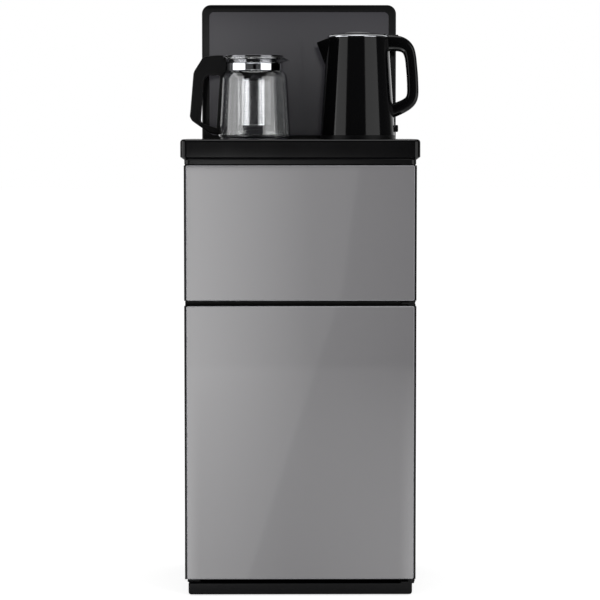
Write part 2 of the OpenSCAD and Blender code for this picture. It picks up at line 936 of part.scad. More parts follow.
module tower_shell() {
    color(black)
        difference() {
            union() {
                difference() {
                    slab_y(tower_front, tower_back)
                        tower_outline(0);
                    slab_y(tower_inner_y, tower_back + 1)
                        tower_outline(shell_wall);
                }
                slab_y(tower_inner_y - 0.5, cover_y - 0.2)
                    tower_boss_places()
                        circle(tower_boss_r);
                tower_bolt_places()
                    translate([0, 0, deck_top])
                        cylinder(r = bolt_boss_r, h = bolt_boss_h);
                for (sx = [-1, 1], z = [board_z + board_post_inset, board_z + board_h - board_post_inset])
                    rod_y(sx*board_post_x, z, board_post_r, tower_inner_y - 0.5, tower_inner_y + standoff);
            }
            slab_y(tower_front - 1, tower_wall_y)
                tower_glass_outline(snug);
            slab_y(tower_wall_y - 1, tower_inner_y + 1)
                rect_xz(-display_w/2 - 4, display_w/2 + 4, board_z + display_lift - 8,
                    board_z + display_lift + display_h + 7);
            slab_y(cover_y - tower_screw_l - 2, cover_y + 1)
                tower_boss_places()
                    circle(tower_screw_r);
            tower_bolt_places()
                translate([0, 0, deck_top - 1])
                    cylinder(r = tower_bolt_r + running, h = tower_bolt_l + 2);
            translate([0, tower_bolt_y[1], deck_top - 1])
                cylinder(r = cable_hole_r, h = shell_wall + 2);
        }
}

module tower_glass() {
    color([0.1, 0.1, 0.11])
        slab_y(tower_wall_y - snug - tower_glass_t, tower_wall_y - snug)
            tower_glass_outline(0);
}

module tower_back_cover() {
    color(black)
        slab_y(cover_y, tower_back)
            difference() {
                tower_outline(shell_wall + cover_gap);
                tower_boss_places()
                    circle(tower_screw_r + snug);
                for (z = [board_z + 17 : louvre_pitch : board_z + board_h + 17])
                    rect_xz(-cover_louvre_w/2, cover_louvre_w/2, z, z + louvre_h);
            }
}

// Cover screws at the back, and bolts from below the deck into the tower's foot
module tower_screws() {
    color(steel) {
        slab_y(tower_back, tower_back + screw_head_h)
            tower_boss_places()
                circle(2*tower_screw_r);
        slab_y(cover_y - tower_screw_l, tower_back)
            tower_boss_places()
                circle(tower_screw_r - running);
        tower_bolt_places() {
            translate([0, 0, cavity_top - bolt_head_h - snug])
                cylinder(r = bolt_head_r, h = bolt_head_h, $fn = 6);
            translate([0, 0, cavity_top - 1])
                cylinder(r = tower_bolt_r, h = deck_plate + tower_bolt_l);
        }
    }
}

// Circuit board with its display block, behind the tower's window
module control_board() {
    y = tower_inner_y + standoff + snug;
    color([0.05, 0.3, 0.15])
        slab_y(y, y + board_t)
            rect_xz(-board_w/2, board_w/2, board_z, board_z + board_h);
    color([0.1, 0.1, 0.1]) {
        block(-display_w/2, display_w/2, tower_wall_y + 0.5, y, board_z + display_lift,
            board_z + display_lift + display_h);
        block(-chip_w/2, chip_w/2, y + board_t, y + board_t + chip_t, board_z + board_h/2 - chip_w/2,
            board_z + board_h/2 + chip_w/2);
        block(board_w/2 - 1.5*relay_w, board_w/2 - relay_w/2, y + board_t, y + board_t + relay_t,
            board_z + relay_h/2, board_z + 1.5*relay_h);
    }
}

// Kettle dock and warming plate

module kettle_socket() {
    color(black)
        translate([kettle_x, kettle_y, 0]) {
            translate([0, 0, dock_z])
                cylinder(r = socket_flange_r, h = socket_flange_t - 0.3);
            translate([0, 0, dock_z - socket_body_h])
                cylinder(r = socket_body_r, h = socket_body_h);
            translate([0, 0, dock_z])
                cylinder(r = post_r, h = post_h);
        }
}

module fill_nozzle() {
    color(pale)
        translate([nozzle_x, kettle_y, 0])
            difference() {
                union() {
                    translate([0, 0, dock_z])
                        cylinder(r = nozzle_flange_r, h = 1.7);
                    translate([0, 0, cavity_top])
                        cylinder(r = nozzle_post_r, h = dock_z + nozzle_post_h - cavity_top);
                    translate([0, 0, cavity_top - barb_h])
                        cylinder(r = barb_r, h = barb_h);
                }
                translate([0, 0, cavity_top - barb_h - 1])
                    cylinder(r = nozzle_bore_r, h = barb_h + deck_plate + nozzle_post_h + 5);
            }
}

module warming_plate() {
    color([0.15, 0.15, 0.15])
        translate([-teapot_x, -pot_setback, warm_z - warm_t])
            cylinder(r = warm_r, h = warm_t, $fn = 96);
}

module warming_heater() {
    color([0.75, 0.75, 0.75])
        translate([-teapot_x, -pot_setback, warm_z - warm_t - heater_t])
            tube(heater_out_r, heater_in_r, heater_t);
}

// Spring-steel bar that holds the heater up against the warming plate
module heater_clamp() {
    z = warm_z - warm_t - heater_t - clamp_t;
    color(steel)
        translate([-teapot_x, -pot_setback, z])
            linear_extrude(clamp_t) {
                square([2*clamp_boss_x, clamp_w], center = true);
                for (sx = [-1, 1])
                    translate([sx*clamp_boss_x, 0])
                        circle(clamp_w/2);
            }
}

// Kettle, drawn with its axis on the origin and its foot at zero

module at_kettle() {
    translate([kettle_x, kettle_y, kettle_z])
        children();
}

// A solid cone of the kettle's outer shape between two heights, offset inwards by inset
module kettle_cone(h0, h1, inset) {
    translate([0, 0, h0])
        cylinder(r1 = kettle_r(h0) - inset, r2 = kettle_r(h1) - inset, h = h1 - h0, $fn = 96);
}

module kettle_base() {
    color(black)
        at_kettle()
            difference() {
                union() {
                    difference() {
                        union() {
                            kettle_cone(0, base_ring_h, 0);
                            kettle_cone(base_ring_h - 1, base_ring_h + spigot_h, kettle_wall + 0.3);
                        }
                        translate([0, 0, base_plate_t])
                            cylinder(r = kettle_r(20) - kettle_wall - 2.5, h = 40, $fn = 96);
                    }
                    translate([-nozzle_offset, 0, 0])
                        cylinder(r = 9, h = valve_guide_z + 4.5);
                    for (sy = [-1, 1])
                        translate([switch_pin_x - 3.5, sy*8.5 - 1.5, base_plate_t - 0.5])
                            cube([6, 3, switch_pin_z + 4 - base_plate_t]);
                }
                translate([0, 0, -1])
                    cylinder(r = socket_flange_r + 3, h = 10);
                translate([-nozzle_offset, 0, -1])
                    cylinder(r = nozzle_flange_r + 0.6, h = 1 + 2.2);
                translate([-nozzle_offset, 0, 0])
                    cylinder(r = nozzle_post_r + 1, h = valve_guide_z);
                translate([-nozzle_offset, 0, 0])
                    cylinder(r = valve_stem_r + running, h = 30);
                rod_y(switch_pin_x, switch_pin_z, switch_pin_r + running, -20, 20);
            }
}

module spout_solid(inset) {
    r = kettle_r(kettle_h) - inset;
    tip_r = 2;
    hull() {
        translate([-kettle_r(kettle_h) - spout_reach + tip_r + inset*1.6, 0,
            kettle_h - spout_drop - tip_r + inset])
            sphere(tip_r, $fn = 16);
        for (s = [-1, 1])
            rotate([0, 0, s*(spout_half_angle - inset)])
                translate([-r + 2, 0, kettle_h - 20])
                    cylinder(r = 1.5, h = 20 + (inset > 0 ? 2 : 0), $fn = 16);
        translate([-kettle_r(kettle_h - spout_h) + 2.4 + inset, 0, kettle_h - spout_h + 2*inset])
            sphere(1.5, $fn = 16);
    }
}

module kettle_shell() {
    z0 = base_ring_h + 0.2;
    color(black)
        at_kettle()
            difference() {
                union() {
                    kettle_cone(z0, kettle_h, 0);
                    spout_solid(0);
                }
                kettle_cone(z0 - 1, kettle_h + 3, kettle_wall);
                spout_solid(2);
                translate([kettle_r(slot_z) - 12, -switch_w/2 - 1, slot_z])
                    cube([20, switch_w + 2, slot_h]);
                translate([-100, -50, kettle_h])
                    cube([100, 100, 20]);
            }
}

module kettle_pot() {
    top_r = kettle_r(pot_top) - kettle_wall - 0.3;
    b = kettle_r(pot_bottom) - pot_gap;
    t = kettle_r(pot_top) - pot_gap;
    color(steel)
        at_kettle()
            difference() {
                rotate_extrude($fn = 96)
                    polygon([[0, pot_bottom], [b, pot_bottom], [t, pot_top - pot_wall],
                        [top_r, pot_top - pot_wall], [top_r, pot_top], [t - pot_wall, pot_top],
                        [b - pot_wall, pot_bottom + pot_wall], [0, pot_bottom + pot_wall]]);
                translate([-nozzle_offset, 0, pot_bottom - 1])
                    cylinder(r = valve_stem_r + 0.4, h = 4);
            }
}

module kettle_coupler() {
    color([0.2, 0.2, 0.2])
        at_kettle()
            difference() {
                union() {
                    translate([0, 0, base_plate_t + snug])
                        cylinder(r = coupler_r, h = coupler_h - base_plate_t - snug);
                    translate([0, 0, base_plate_t + snug])
                        cylinder(r = nozzle_offset - nozzle_post_r - 2.4 - 2.2, h = 2.5);
                }
                cylinder(r = coupler_bore_r, h = coupler_h - 2);
            }
}

// Ring-shaped heating element under the steel pot
module kettle_heater() {
    color([0.6, 0.6, 0.6])
        at_kettle()
            translate([0, 0, coupler_h + 0.2])
                tube(30, 14, pot_bottom - coupler_h - 0.5);
}

// Poppet that the dock's nozzle holds up while the kettle stands on it
module kettle_fill_valve() {
    head_z = pot_bottom + pot_wall + snug + valve_lift;
    stem_z = dock_z + nozzle_post_h + seat - kettle_z;
    color([0.9, 0.9, 0.9])
        at_kettle()
            translate([-nozzle_offset, 0, 0]) {
                translate([0, 0, stem_z])
                    cylinder(r = valve_stem_r, h = head_z - stem_z + 1);
                translate([0, 0, head_z])
                    cylinder(r = 6, h = 3);
            }
}

module kettle_handle_outline() {
    difference() {
        polygon(concat(
            [[kettle_top_r - 6, handle_top]],
            arc(handle_out_c, handle_out_r, 90, 10, 8),
            arc(handle_low_c, handle_out_r, 5, -62, 7),
            [[kettle_foot_r - 8, 40]]));
        polygon(concat(
            [[kettle_top_r - 6, handle_in_c[1] + handle_in_r + 1]],
            arc(handle_in_c, handle_in_r, 90, 15, 6),
            arc(handle_in_low_c, handle_in_low_r, 5, -62, 5),
            [[kettle_foot_r - 8, 65]]));
    }
}

module kettle_handle() {
    color(black)
        at_kettle()
            difference() {
                slab_y(-kettle_grip_w/2, kettle_grip_w/2)
                    kettle_handle_outline();
                kettle_cone(0, kettle_h + snug, -snug);
                translate([0, 0, kettle_h])
                    cylinder(r = kettle_top_r + 0.4, h = 20, $fn = 96);
                translate([button_x - 0.4, -button_w/2 - 0.4,
                    handle_top + 1 - button_h - lid_button_travel - 0.5])
                    cube([button_l + 0.8, button_w + 0.8, 20]);
            }
}

module kettle_lid_button() {
    color([0.15, 0.15, 0.15])
        at_kettle()
            translate([button_x, -button_w/2, handle_top + 1 - button_h])
                cube([button_l, button_w, button_h]);
}

// Chrome ring round the lid, cut away where the lid's hinge lug turns
module kettle_rim() {
    color(steel)
        at_kettle()
            difference() {
                rotate_extrude($fn = 96)
                    polygon([[rim_inner_r, rim_z], [kettle_top_r, rim_z], [kettle_top_r, rim_z + 1.2],
                        [kettle_top_r - 1.6, rim_z + 3.8], [rim_inner_r + 2, rim_z + rim_h],
                        [rim_inner_r + rim_chamfer, rim_z + rim_h],
                        [rim_inner_r, rim_z + rim_h - rim_chamfer]]);
                translate([lid_pin_x - 8, -lid_lug_w/2 - 0.5, rim_z - 1])
                    cube([20, lid_lug_w + 1, rim_h + 2]);
                rod_y(lid_pin_x, lid_pin_z, lid_pin_r + 0.02, -lid_lug_w/2 - lid_ear_w,
                    lid_lug_w/2 + lid_ear_w);
            }
}

module kettle_lid_pin() {
    color(steel)
        at_kettle()
            rod_y(lid_pin_x, lid_pin_z, lid_pin_r, -lid_lug_w/2 - lid_ear_w + 0.2,
                lid_lug_w/2 + lid_ear_w - 0.2);
}

module kettle_lid() {
    z = rim_z + 0.4;
    top = rim_z + rim_h;
    color([0.25, 0.25, 0.25])
        at_kettle()
            difference() {
                union() {
                    rotate_extrude($fn = 96)
                        polygon([[0, z], [lid_r, z], [lid_r, top - 0.6], [lid_r - 1.5, top + 0.4],
                            [lid_disc_r + 3, top + 1.6], [lid_disc_r + 3, top + 0.8],
                            [lid_disc_r, top + 0.8], [lid_disc_r, top + 4.6],
                            [lid_disc_r - 1.5, top + 5.6], [0, top + 5.6]]);
                    translate([lid_r - 8, -lid_lug_w/2, lid_pin_z - 2.6])
                        cube([lid_pin_x - lid_r + 8, lid_lug_w, 5.2]);
                    rod_y(lid_pin_x, lid_pin_z, 2.6, -lid_lug_w/2, lid_lug_w/2);
                }
                rod_y(lid_pin_x, lid_pin_z, lid_pin_r + running, -30, 30);
            }
}

// Lever below the handle, on its own trunnions
module kettle_switch() {
    color([0.15, 0.15, 0.15])
        at_kettle() {
            rod_y(switch_pin_x, switch_pin_z, switch_pin_r, -10, 10);
            translate([switch_pin_x - 2.5, -switch_w/2, switch_pin_z - 3.2])
                cube([switch_reach - 4 + 2.5, switch_w, 6.4]);
            translate([switch_pin_x + 9, -switch_w/2, switch_pin_z - 5.2])
                cube([switch_reach - 9, switch_w, 12.8]);
        }
}

// Teapot, drawn with its axis on the origin and its foot at zero

module at_teapot() {
    translate([-teapot_x, -pot_setback, teapot_z])
        children();
}

function teapot_side(inset) = concat(
    [[teapot_foot_r - teapot_foot_h, inset]],
    arc([teapot_foot_r - teapot_foot_h, teapot_foot_h], teapot_foot_h - inset, -75, 0, 5),
    [for (a = [0:15:90]) [teapot_neck_r + (teapot_shoulder_r - teapot_neck_r)*cos(a) - inset,
        teapot_side_h + (shoulder_h - inset/2)*sin(a)]],
    [[teapot_neck_r - inset, lip_start],
        [teapot_neck_r + lip_flare - inset, lip_start + lip_h],
        [teapot_neck_r + lip_flare - inset, teapot_h]]);

// The solid shape inside the teapot's outer face, or inside its inner face with inset = wall
module teapot_form(inset) {
    rotate_extrude($fn = 96)
        polygon(concat([[0, inset]], teapot_side(inset), [[0, teapot_h]]));
}

module pour_lip(inset) {
    z = lip_start + lip_h - 4;
    hull() {
        for (s = [-1, 1])
            rotate([0, 0, s*(18 - 2*inset)])
                translate([teapot_neck_r + lip_flare - 3 - inset, 0, z])
                    cylinder(r = 1.5, h = teapot_h - z + (inset > 0 ? 2 : 0), $fn = 16);
        translate([teapot_neck_r + lip_flare + pour_reach - 1.8 - 1.4*inset, 0,
            teapot_h - 8 + 1.5*inset])
            sphere(1.8, $fn = 16);
        translate([teapot_neck_r - 1 - inset, 0, lip_start + 2])
            sphere(1.5, $fn = 16);
    }
}

module teapot_glass() {
    color(clear)
        at_teapot()
            difference() {
                union() {
                    teapot_form(0);
                    pour_lip(0);
                }
                rotate_extrude($fn = 96)
                    polygon(concat([[0, teapot_wall + 1]], teapot_side(teapot_wall),
                        [[teapot_neck_r + lip_flare - teapot_wall, teapot_h + 5], [0, teapot_h + 5]]));
                pour_lip(teapot_wall);
                translate([0, 0, teapot_h])
                    cylinder(r = 90, h = 20);
            }
}

module teapot_band() {
    color(steel)
        at_teapot()
            translate([0, 0, band_z])
                tube(teapot_neck_r + 1.3, teapot_neck_r + 0.2, band_h, $fn = 96);
}

// Handle outline, in distance left of the axis and height above the foot
function teapot_handle_outer() = concat(
    [[teapot_neck_r - 2, grip_top], [grip_out_c[0] - grip_out_r, grip_top], [grip_out_c[0], grip_top - 2]],
    arc(grip_out_c, grip_out_r, 60, 10, 4),
    [[grip_reach, grip_low_c[1] + grip_low_r/2]],
    arc(grip_low_c, grip_low_r, -10, -58, 3),
    [[grip_low_c[0] - grip_low_r, grip_foot + 3.5], [teapot_foot_r, grip_foot],
        [teapot_shoulder_r - 5, grip_foot]]);

function teapot_handle_inner() = concat(
    [[teapot_shoulder_r + 3, grip_in_c[1] + grip_in_r - 1]],
    arc(grip_in_c, grip_in_r, 90, 8, 4),
    [[grip_reach - grip_t, teapot_side_h - 45]],
    arc(grip_in_low_c, grip_in_low_r, 0, -70, 3),
    [[teapot_foot_r + 4, grip_foot + 13]]);

module teapot_handle() {
    color(black)
        at_teapot()
            difference() {
                mirror([1, 0, 0])
                    slab_y(-teapot_grip_w/2, teapot_grip_w/2)
                        difference() {
                            polygon(teapot_handle_outer());
                            polygon(teapot_handle_inner());
                        }
                rotate_extrude($fn = 96)
                    polygon(concat([[0, -1]], [for (p = teapot_side(0)) p + [0.15, 0]],
                        [[teapot_neck_r + lip_flare + 0.15, teapot_h + 5], [0, teapot_h + 5]]));
                translate([0, 0, band_z - 0.2])
                    cylinder(r = teapot_neck_r + 1.5, h = band_h + 0.4, $fn = 96);
            }
}

// Perforated steel tube on a funnel whose flange hangs in the teapot's lip
module teapot_infuser() {
    w = infuser_wall;
    color(steel)
        at_teapot()
            rotate_extrude($fn = 96)
                polygon([[0, infuser_bottom], [infuser_r, infuser_bottom], [infuser_r, infuser_tube_top],
                    [infuser_neck_r, funnel_top], [infuser_neck_r, infuser_top - 2],
                    [infuser_flange_r, infuser_top], [infuser_flange_r, infuser_top + w],
                    [infuser_neck_r - w, infuser_top - 2 + w], [infuser_neck_r - w, funnel_top + w],
                    [infuser_r - w, infuser_tube_top + w], [infuser_r - w, infuser_bottom + w],
                    [0, infuser_bottom + w]]);
}

module teapot_lid() {
    z = teapot_lid_z;
    color([0.2, 0.2, 0.2])
        at_teapot()
            rotate_extrude($fn = 96)
                polygon([[0, z + 1.5], [30, z + 1.5], [34, z], [teapot_lid_r, z],
                    [teapot_lid_r, z + 3], [teapot_lid_r - 1.5, z + 4.5], [36, z + 5.3],
                    [31, z + 3.2], [0, z + 3.2]]);
}

// Water path

module at_lance() {
    translate([-lance_x, lance_y, 0])
        children();
}

module suction_lance() {
    color(pale)
        at_lance()
            translate([0, 0, lance_foot_z])
                tube(lance_r, lance_r - 1, cap_z + cap_h - lance_foot_z + 4);
}

// Cap that sits on the bottle's neck, with the hose's barb on top
module bottle_cap() {
    color([0.2, 0.35, 0.6])
        at_lance()
            difference() {
                union() {
                    translate([0, 0, cap_z])
                        cylinder(r = cap_r, h = cap_h);
                    translate([0, 0, cap_z + cap_h])
                        cylinder(r = lance_r + 3, h = 6);
                    translate([0, 0, cap_z + cap_h + 6])
                        cylinder(r = barb_r, h = 9);
                }
                translate([0, 0, cap_z - 1])
                    cylinder(r = cap_r - 2.5, h = cap_h - 1.5);
                translate([0, 0, cap_z])
                    cylinder(r = lance_r + snug, h = cap_h + 4 + snug);
                cylinder(r = nozzle_bore_r, h = cap_z + cap_h + 20);
            }
}

clip_z = [lance_foot_z + 60, cap_z - 60];
clip_h = 12;

// Snap clips on the left side panel that hold the parked suction tube
module lance_clips() {
    color([0.2, 0.2, 0.2])
        for (z = clip_z)
            linear_extrude_at(z, clip_h)
                difference() {
                    union() {
                        translate([-lance_x, lance_y])
                            circle(lance_r + 3);
                        translate([-half_w + sheet_t + snug, lance_y - 3])
                            square([half_w - sheet_t - snug - lance_x - lance_r - 1, 6]);
                        translate([-half_w + sheet_t + snug, lance_y - 12])
                            square([2, 24]);
                    }
                    translate([-lance_x, lance_y])
                        circle(lance_r + snug);
                    translate([-lance_x, lance_y - 3.5])
                        square([20, 7]);
                }
}

module suction_hose() {
    z0 = cap_z + cap_h + 6 + snug;
    color([0.8, 0.8, 0.8])
        at_lance()
            translate([0, 0, z0])
                hose(pump_inlet_z - snug - z0);
}

// Diaphragm pump: head over the shelf's hose hole, motor beside it
module pump() {
    color([0.25, 0.25, 0.25])
        at_lance()
            difference() {
                union() {
                    translate([-pump_head_w/2, -pump_head_w/2, pump_z])
                        cube([pump_head_w, pump_head_w, pump_head_h]);
                    translate([0, 0, pump_z - barb_h])
                        cylinder(r = barb_r, h = barb_h + 1);
                    translate([0, 0, pump_z + pump_head_h])
                        cylinder(r = barb_r, h = barb_h);
                }
                translate([0, 0, pump_z - barb_h - 1])
                    cylinder(r = nozzle_bore_r, h = barb_h + 7);
                translate([0, 0, pump_z + pump_head_h - 6])
                    cylinder(r = nozzle_bore_r, h = barb_h + 7);
            }
    color(steel)
        slab_x(-lance_x + pump_head_w/2, -lance_x + pump_head_w/2 + motor_l)
            translate([lance_y, pump_z + pump_head_h/2])
                circle(motor_r);
}

module pump_bracket() {
    x0 = -lance_x + pump_head_w/2 + bracket_inset;
    x1 = x0 + motor_l - 2*bracket_inset;
    zc = pump_z + pump_head_h/2;
    color([0.3, 0.3, 0.3])
        slab_x(x0, x1)
            difference() {
                translate([lance_y - motor_r - 7, shelf_top])
                    square([2*motor_r + 14, zc - shelf_top - 3]);
                translate([lance_y, zc])
                    circle(motor_r + snug);
            }
}

// Pump to valve, then valve up into the deck, across below the tower and forward to the nozzle
module delivery_hose() {
    low = pump_z + pump_head_h + snug;
    high = valve_z + valve_h + snug;
    turn_z = hose_run_z - hose_bend_r;
    run_x0 = -lance_x + hose_bend_r;
    run_x1 = nozzle_x - hose_bend_r;
    run_y0 = lance_y - hose_bend_r;
    run_y1 = kettle_y + hose_bend_r;
    color([0.8, 0.8, 0.8]) {
        at_lance() {
            translate([0, 0, low])
                hose(valve_z - snug - low);
            translate([0, 0, high])
                hose(turn_z - high);
            translate([0, 0, turn_z])
                hose_bend();
        }
        translate([run_x0, lance_y, hose_run_z])
            rotate([0, 90, 0])
                hose(run_x1 - run_x0);
        translate([run_x1, lance_y - hose_bend_r, hose_run_z])
            rotate_extrude(angle = 90)
                hose_section();
        translate([nozzle_x, run_y0, hose_run_z])
            rotate([90, 0, 0])
                hose(run_y0 - run_y1);
        translate([nozzle_x, kettle_y, hose_run_z + hose_bend_r])
            rotate([180, 0, 90])
                hose_bend();
        translate([nozzle_x, kettle_y, hose_run_z + hose_bend_r])
            hose(nozzle_hose_top - hose_run_z - hose_bend_r);
    }
}

// Solenoid valve in the rising hose, on a plate from the left side panel
module stop_valve() {
    color([0.85, 0.85, 0.85])
        at_lance() {
            difference() {
                union() {
                    translate([-valve_w/2, -valve_w/2, valve_z + 8])
                        cube([valve_w, valve_w, valve_h - 16]);
                    translate([0, 0, valve_z])
                        cylinder(r = 7, h = valve_h);
                    translate([0, 0, valve_z - barb_h])
                        cylinder(r = barb_r, h = valve_h + 2*barb_h);
                }
                translate([0, 0, valve_z - barb_h - 1])
                    cylinder(r = nozzle_bore_r, h = valve_h + 2*barb_h + 2);
            }
            translate([-(half_w - lance_x - sheet_t) + snug, -10, valve_z + 12])
                cube([half_w - lance_x - sheet_t - snug - valve_w/2 + 1, 20, 3]);
            translate([-(half_w - lance_x - sheet_t) + snug, -10, valve_z + 8])
                cube([2, 20, 24]);
        }
}

// Power parts

module power_box() {
    y0 = liner_back + 3;
    y1 = rear_inner - power_gap;
    wall = 2.5;
    color([0.3, 0.3, 0.32])
        difference() {
            block(power_x, power_x + power_w, y0, y1, shelf_top, shelf_top + power_h);
            block(power_x + wall, power_x + power_w - wall, y0 + wall, y1 - wall,
                shelf_top + wall, shelf_top + power_h - wall);
            for (x = [power_x + vent_inset : vent_pitch : power_x + power_w - vent_inset])
                block(x, x + vent_w, y0 - 1, y0 + wall + 1, shelf_top + vent_inset,
                    shelf_top + power_h - vent_inset);
        }
}

module switch_housing() {
    w = rocker_w + 5.6;
    h = rocker_h + 5.6;
    color(black)
        difference() {
            union() {
                slab_y(rear_face, rear_face + 1.5)
                    rect_xz(switch_x - w/2 - 2, switch_x + w/2 + 2, switch_z - h/2 - 2, switch_z + h/2 + 2);
                slab_y(rear_inner - 16, rear_face + 1)
                    rect_xz(switch_x - w/2, switch_x + w/2, switch_z - h/2, switch_z + h/2);
            }
            slab_y(rear_inner - 13, rear_face + 3)
                rect_xz(switch_x - rocker_w/2 - 0.4, switch_x + rocker_w/2 + 0.4,
                    switch_z - rocker_h/2 - 0.8, switch_z + rocker_h/2 + 0.8);
            slab_x(switch_x - rocker_w/2 - 2.4, switch_x + rocker_w/2 + 2.4)
                translate([rear_inner - 5, switch_z])
                    circle(rocker_pin_r + running);
        }
}

// Rocker key, at rest tilted with its lower half pressed in
module power_switch() {
    color([0.1, 0.1, 0.1]) {
        slab_x(switch_x - rocker_w/2, switch_x + rocker_w/2)
            translate([rear_inner - 5, switch_z])
                rotate(-rocker_tilt)
                    polygon([[-2, -6], [rocker_face, -rocker_h/2 + 1.3],
                        [rocker_face, rocker_h/2 - 1.3], [-2, 6]]);
        slab_x(switch_x - rocker_w/2 - 2, switch_x + rocker_w/2 + 2)
            translate([rear_inner - 5, switch_z])
                circle(rocker_pin_r);
    }
}

module cord_gland() {
    color(black)
        difference() {
            union() {
                rod_y(gland_x, gland_z, gland_r, rear_inner - 8, rear_face + 1);
                rod_y(gland_x, gland_z, gland_flange_r, rear_face, rear_face + 4);
                rod_y(gland_x, gland_z, gland_flange_r, rear_inner - 5, rear_inner - snug);
            }
            rod_y(gland_x, gland_z, gland_bore_r, rear_inner - 9, rear_face + 5);
        }
}

base_pan();
feet();
side_panel_left();
side_panel_right();
rear_panel();
panel_screws();
front_frame();
divider_shelf();
cup_liner();
deck_underpan();
deck();
hinge_brackets();
upper_door_frame();
upper_door_glass();
upper_door_gasket();
upper_door_bushes();
lower_door_frame();
lower_door_glass();
lower_door_gasket();
lower_door_bushes();
tower_shell();
tower_glass();
tower_back_cover();
tower_screws();
control_board();
kettle_socket();
fill_nozzle();
warming_plate();
warming_heater();
heater_clamp();
kettle_base();
kettle_shell();
kettle_pot();
kettle_coupler();
kettle_heater();
kettle_fill_valve();
kettle_handle();
kettle_rim();
kettle_lid();
kettle_lid_pin();
kettle_lid_button();
kettle_switch();
teapot_glass();
teapot_band();
teapot_handle();
teapot_infuser();
teapot_lid();
suction_lance();
bottle_cap();
lance_clips();
suction_hose();
pump();
pump_bracket();
delivery_hose();
stop_valve();
power_box();
power_switch();
switch_housing();
cord_gland();
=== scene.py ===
import json
import math

import bmesh
import bpy
from mathutils import Matrix, Vector


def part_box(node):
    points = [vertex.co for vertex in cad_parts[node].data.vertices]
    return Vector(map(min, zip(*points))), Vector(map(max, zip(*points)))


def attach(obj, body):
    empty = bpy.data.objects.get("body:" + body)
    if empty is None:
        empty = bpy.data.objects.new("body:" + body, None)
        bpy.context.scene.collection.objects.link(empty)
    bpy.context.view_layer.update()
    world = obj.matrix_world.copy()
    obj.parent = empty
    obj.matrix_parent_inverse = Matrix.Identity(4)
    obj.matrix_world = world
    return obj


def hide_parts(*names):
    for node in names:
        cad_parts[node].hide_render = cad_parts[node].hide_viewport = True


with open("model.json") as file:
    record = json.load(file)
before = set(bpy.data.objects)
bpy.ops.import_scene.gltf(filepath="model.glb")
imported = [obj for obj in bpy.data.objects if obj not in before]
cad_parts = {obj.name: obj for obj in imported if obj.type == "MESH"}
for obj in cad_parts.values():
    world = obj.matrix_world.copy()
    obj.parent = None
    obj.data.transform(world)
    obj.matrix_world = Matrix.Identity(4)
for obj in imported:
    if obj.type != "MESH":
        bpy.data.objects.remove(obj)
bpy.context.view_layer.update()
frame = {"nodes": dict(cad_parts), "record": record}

# Sizes are in metres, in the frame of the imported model. Outlines are written in millimetres.
MM = 0.001
TAU = 2 * math.pi
SHARP = math.radians(32)        # edges that turn more than this stay crisp
X, Y, Z = Vector((1, 0, 0)), Vector((0, 1, 0)), Vector((0, 0, 1))
TINY = 1e-6                     # metres: points nearer than this are one
GAP = 0.1                       # clearance between a visual piece and the one that sits in it
MAP, MATH = "ShaderNodeMapRange", "ShaderNodeMath"
RANGE = ("From Min", "From Max", "To Min", "To Max")


# Nodes and colours

def rgb(hex_code, alpha=1.0):
    """An sRGB hex colour as the linear values that Blender's sockets take."""
    values = [int(hex_code[i:i + 2], 16) / 255 for i in (0, 2, 4)]
    linear = [v / 12.92 if v <= 0.04045 else ((v + 0.055) / 1.055) ** 2.4 for v in values]
    return (*linear, alpha)


def add(tree, kind, links=(), sockets=(), **settings):
    """Adds a node: links are (an output, this node's input), sockets are (input, its value), and the
    settings are the node's own properties."""
    made = tree.nodes.new(kind)
    for key, value in settings.items():
        setattr(made, key, value)
    for name, value in sockets:
        made.inputs[name].default_value = value
    for output, target in links:
        tree.links.new(output, made.inputs[target])
    return made


def new_material(name, sockets=()):
    """A material with its Principled shader joined to its output. sockets are the shader's, as in add."""
    made = bpy.data.materials.new(name)
    made.use_nodes = True
    tree = made.node_tree
    tree.nodes.clear()
    shader = add(tree, "ShaderNodeBsdfPrincipled", (), sockets)
    add(tree, "ShaderNodeOutputMaterial", [(shader.outputs[0], "Surface")])
    return made, tree, shader


def shade(color, share):
    """A hex colour's linear value, made lighter or darker by a share of itself."""
    return (*(min(1.0, c * (1 + share)) for c in rgb(color)[:3]), 1.0)


def surface(name, color, rough, metal=0.0, ior=1.5, gloss=0.5, grain=None, bump=0.0, swing=0.0, tint=0.0,
            stretch=(1, 1, 1)):
    """A finish with its grain. grain is the size of the pattern in millimetres and bump its height in
    millimetres; swing and tint say how far it moves the roughness and the colour."""
    made, tree, shader = new_material(name, [
        ("Metallic", metal), ("IOR", ior), ("Specular IOR Level", gloss), ("Base Color", rgb(color)),
        ("Roughness", rough)])
    if not grain:
        return made
    place = add(tree, "ShaderNodeTexCoord")
    mapping = add(tree, "ShaderNodeMapping", [(place.outputs["Object"], "Vector")],
                  [("Scale", [s / (grain * MM) for s in stretch])])
    noise = add(tree, "ShaderNodeTexNoise", [(mapping.outputs[0], "Vector")],
                [("Scale", 1.0), ("Detail", 3.0)])
    if swing:
        ranged = add(tree, MAP, [(noise.outputs[0], 0)],
                     zip(RANGE, (0.3, 0.7, rough - swing, rough + swing)))
        tree.links.new(ranged.outputs[0], shader.inputs["Roughness"])
    if tint:
        mix = add(tree, "ShaderNodeMix", [(noise.outputs[0], 0)],
                  [(6, shade(color, -tint)), (7, shade(color, tint))], data_type="RGBA")
        tree.links.new(mix.outputs[2], shader.inputs["Base Color"])
    if bump:
        relief = add(tree, "ShaderNodeBump", [(noise.outputs[0], "Height")], [("Distance", bump * MM)])
        tree.links.new(relief.outputs[0], shader.inputs["Normal"])
    return made


# Finishes

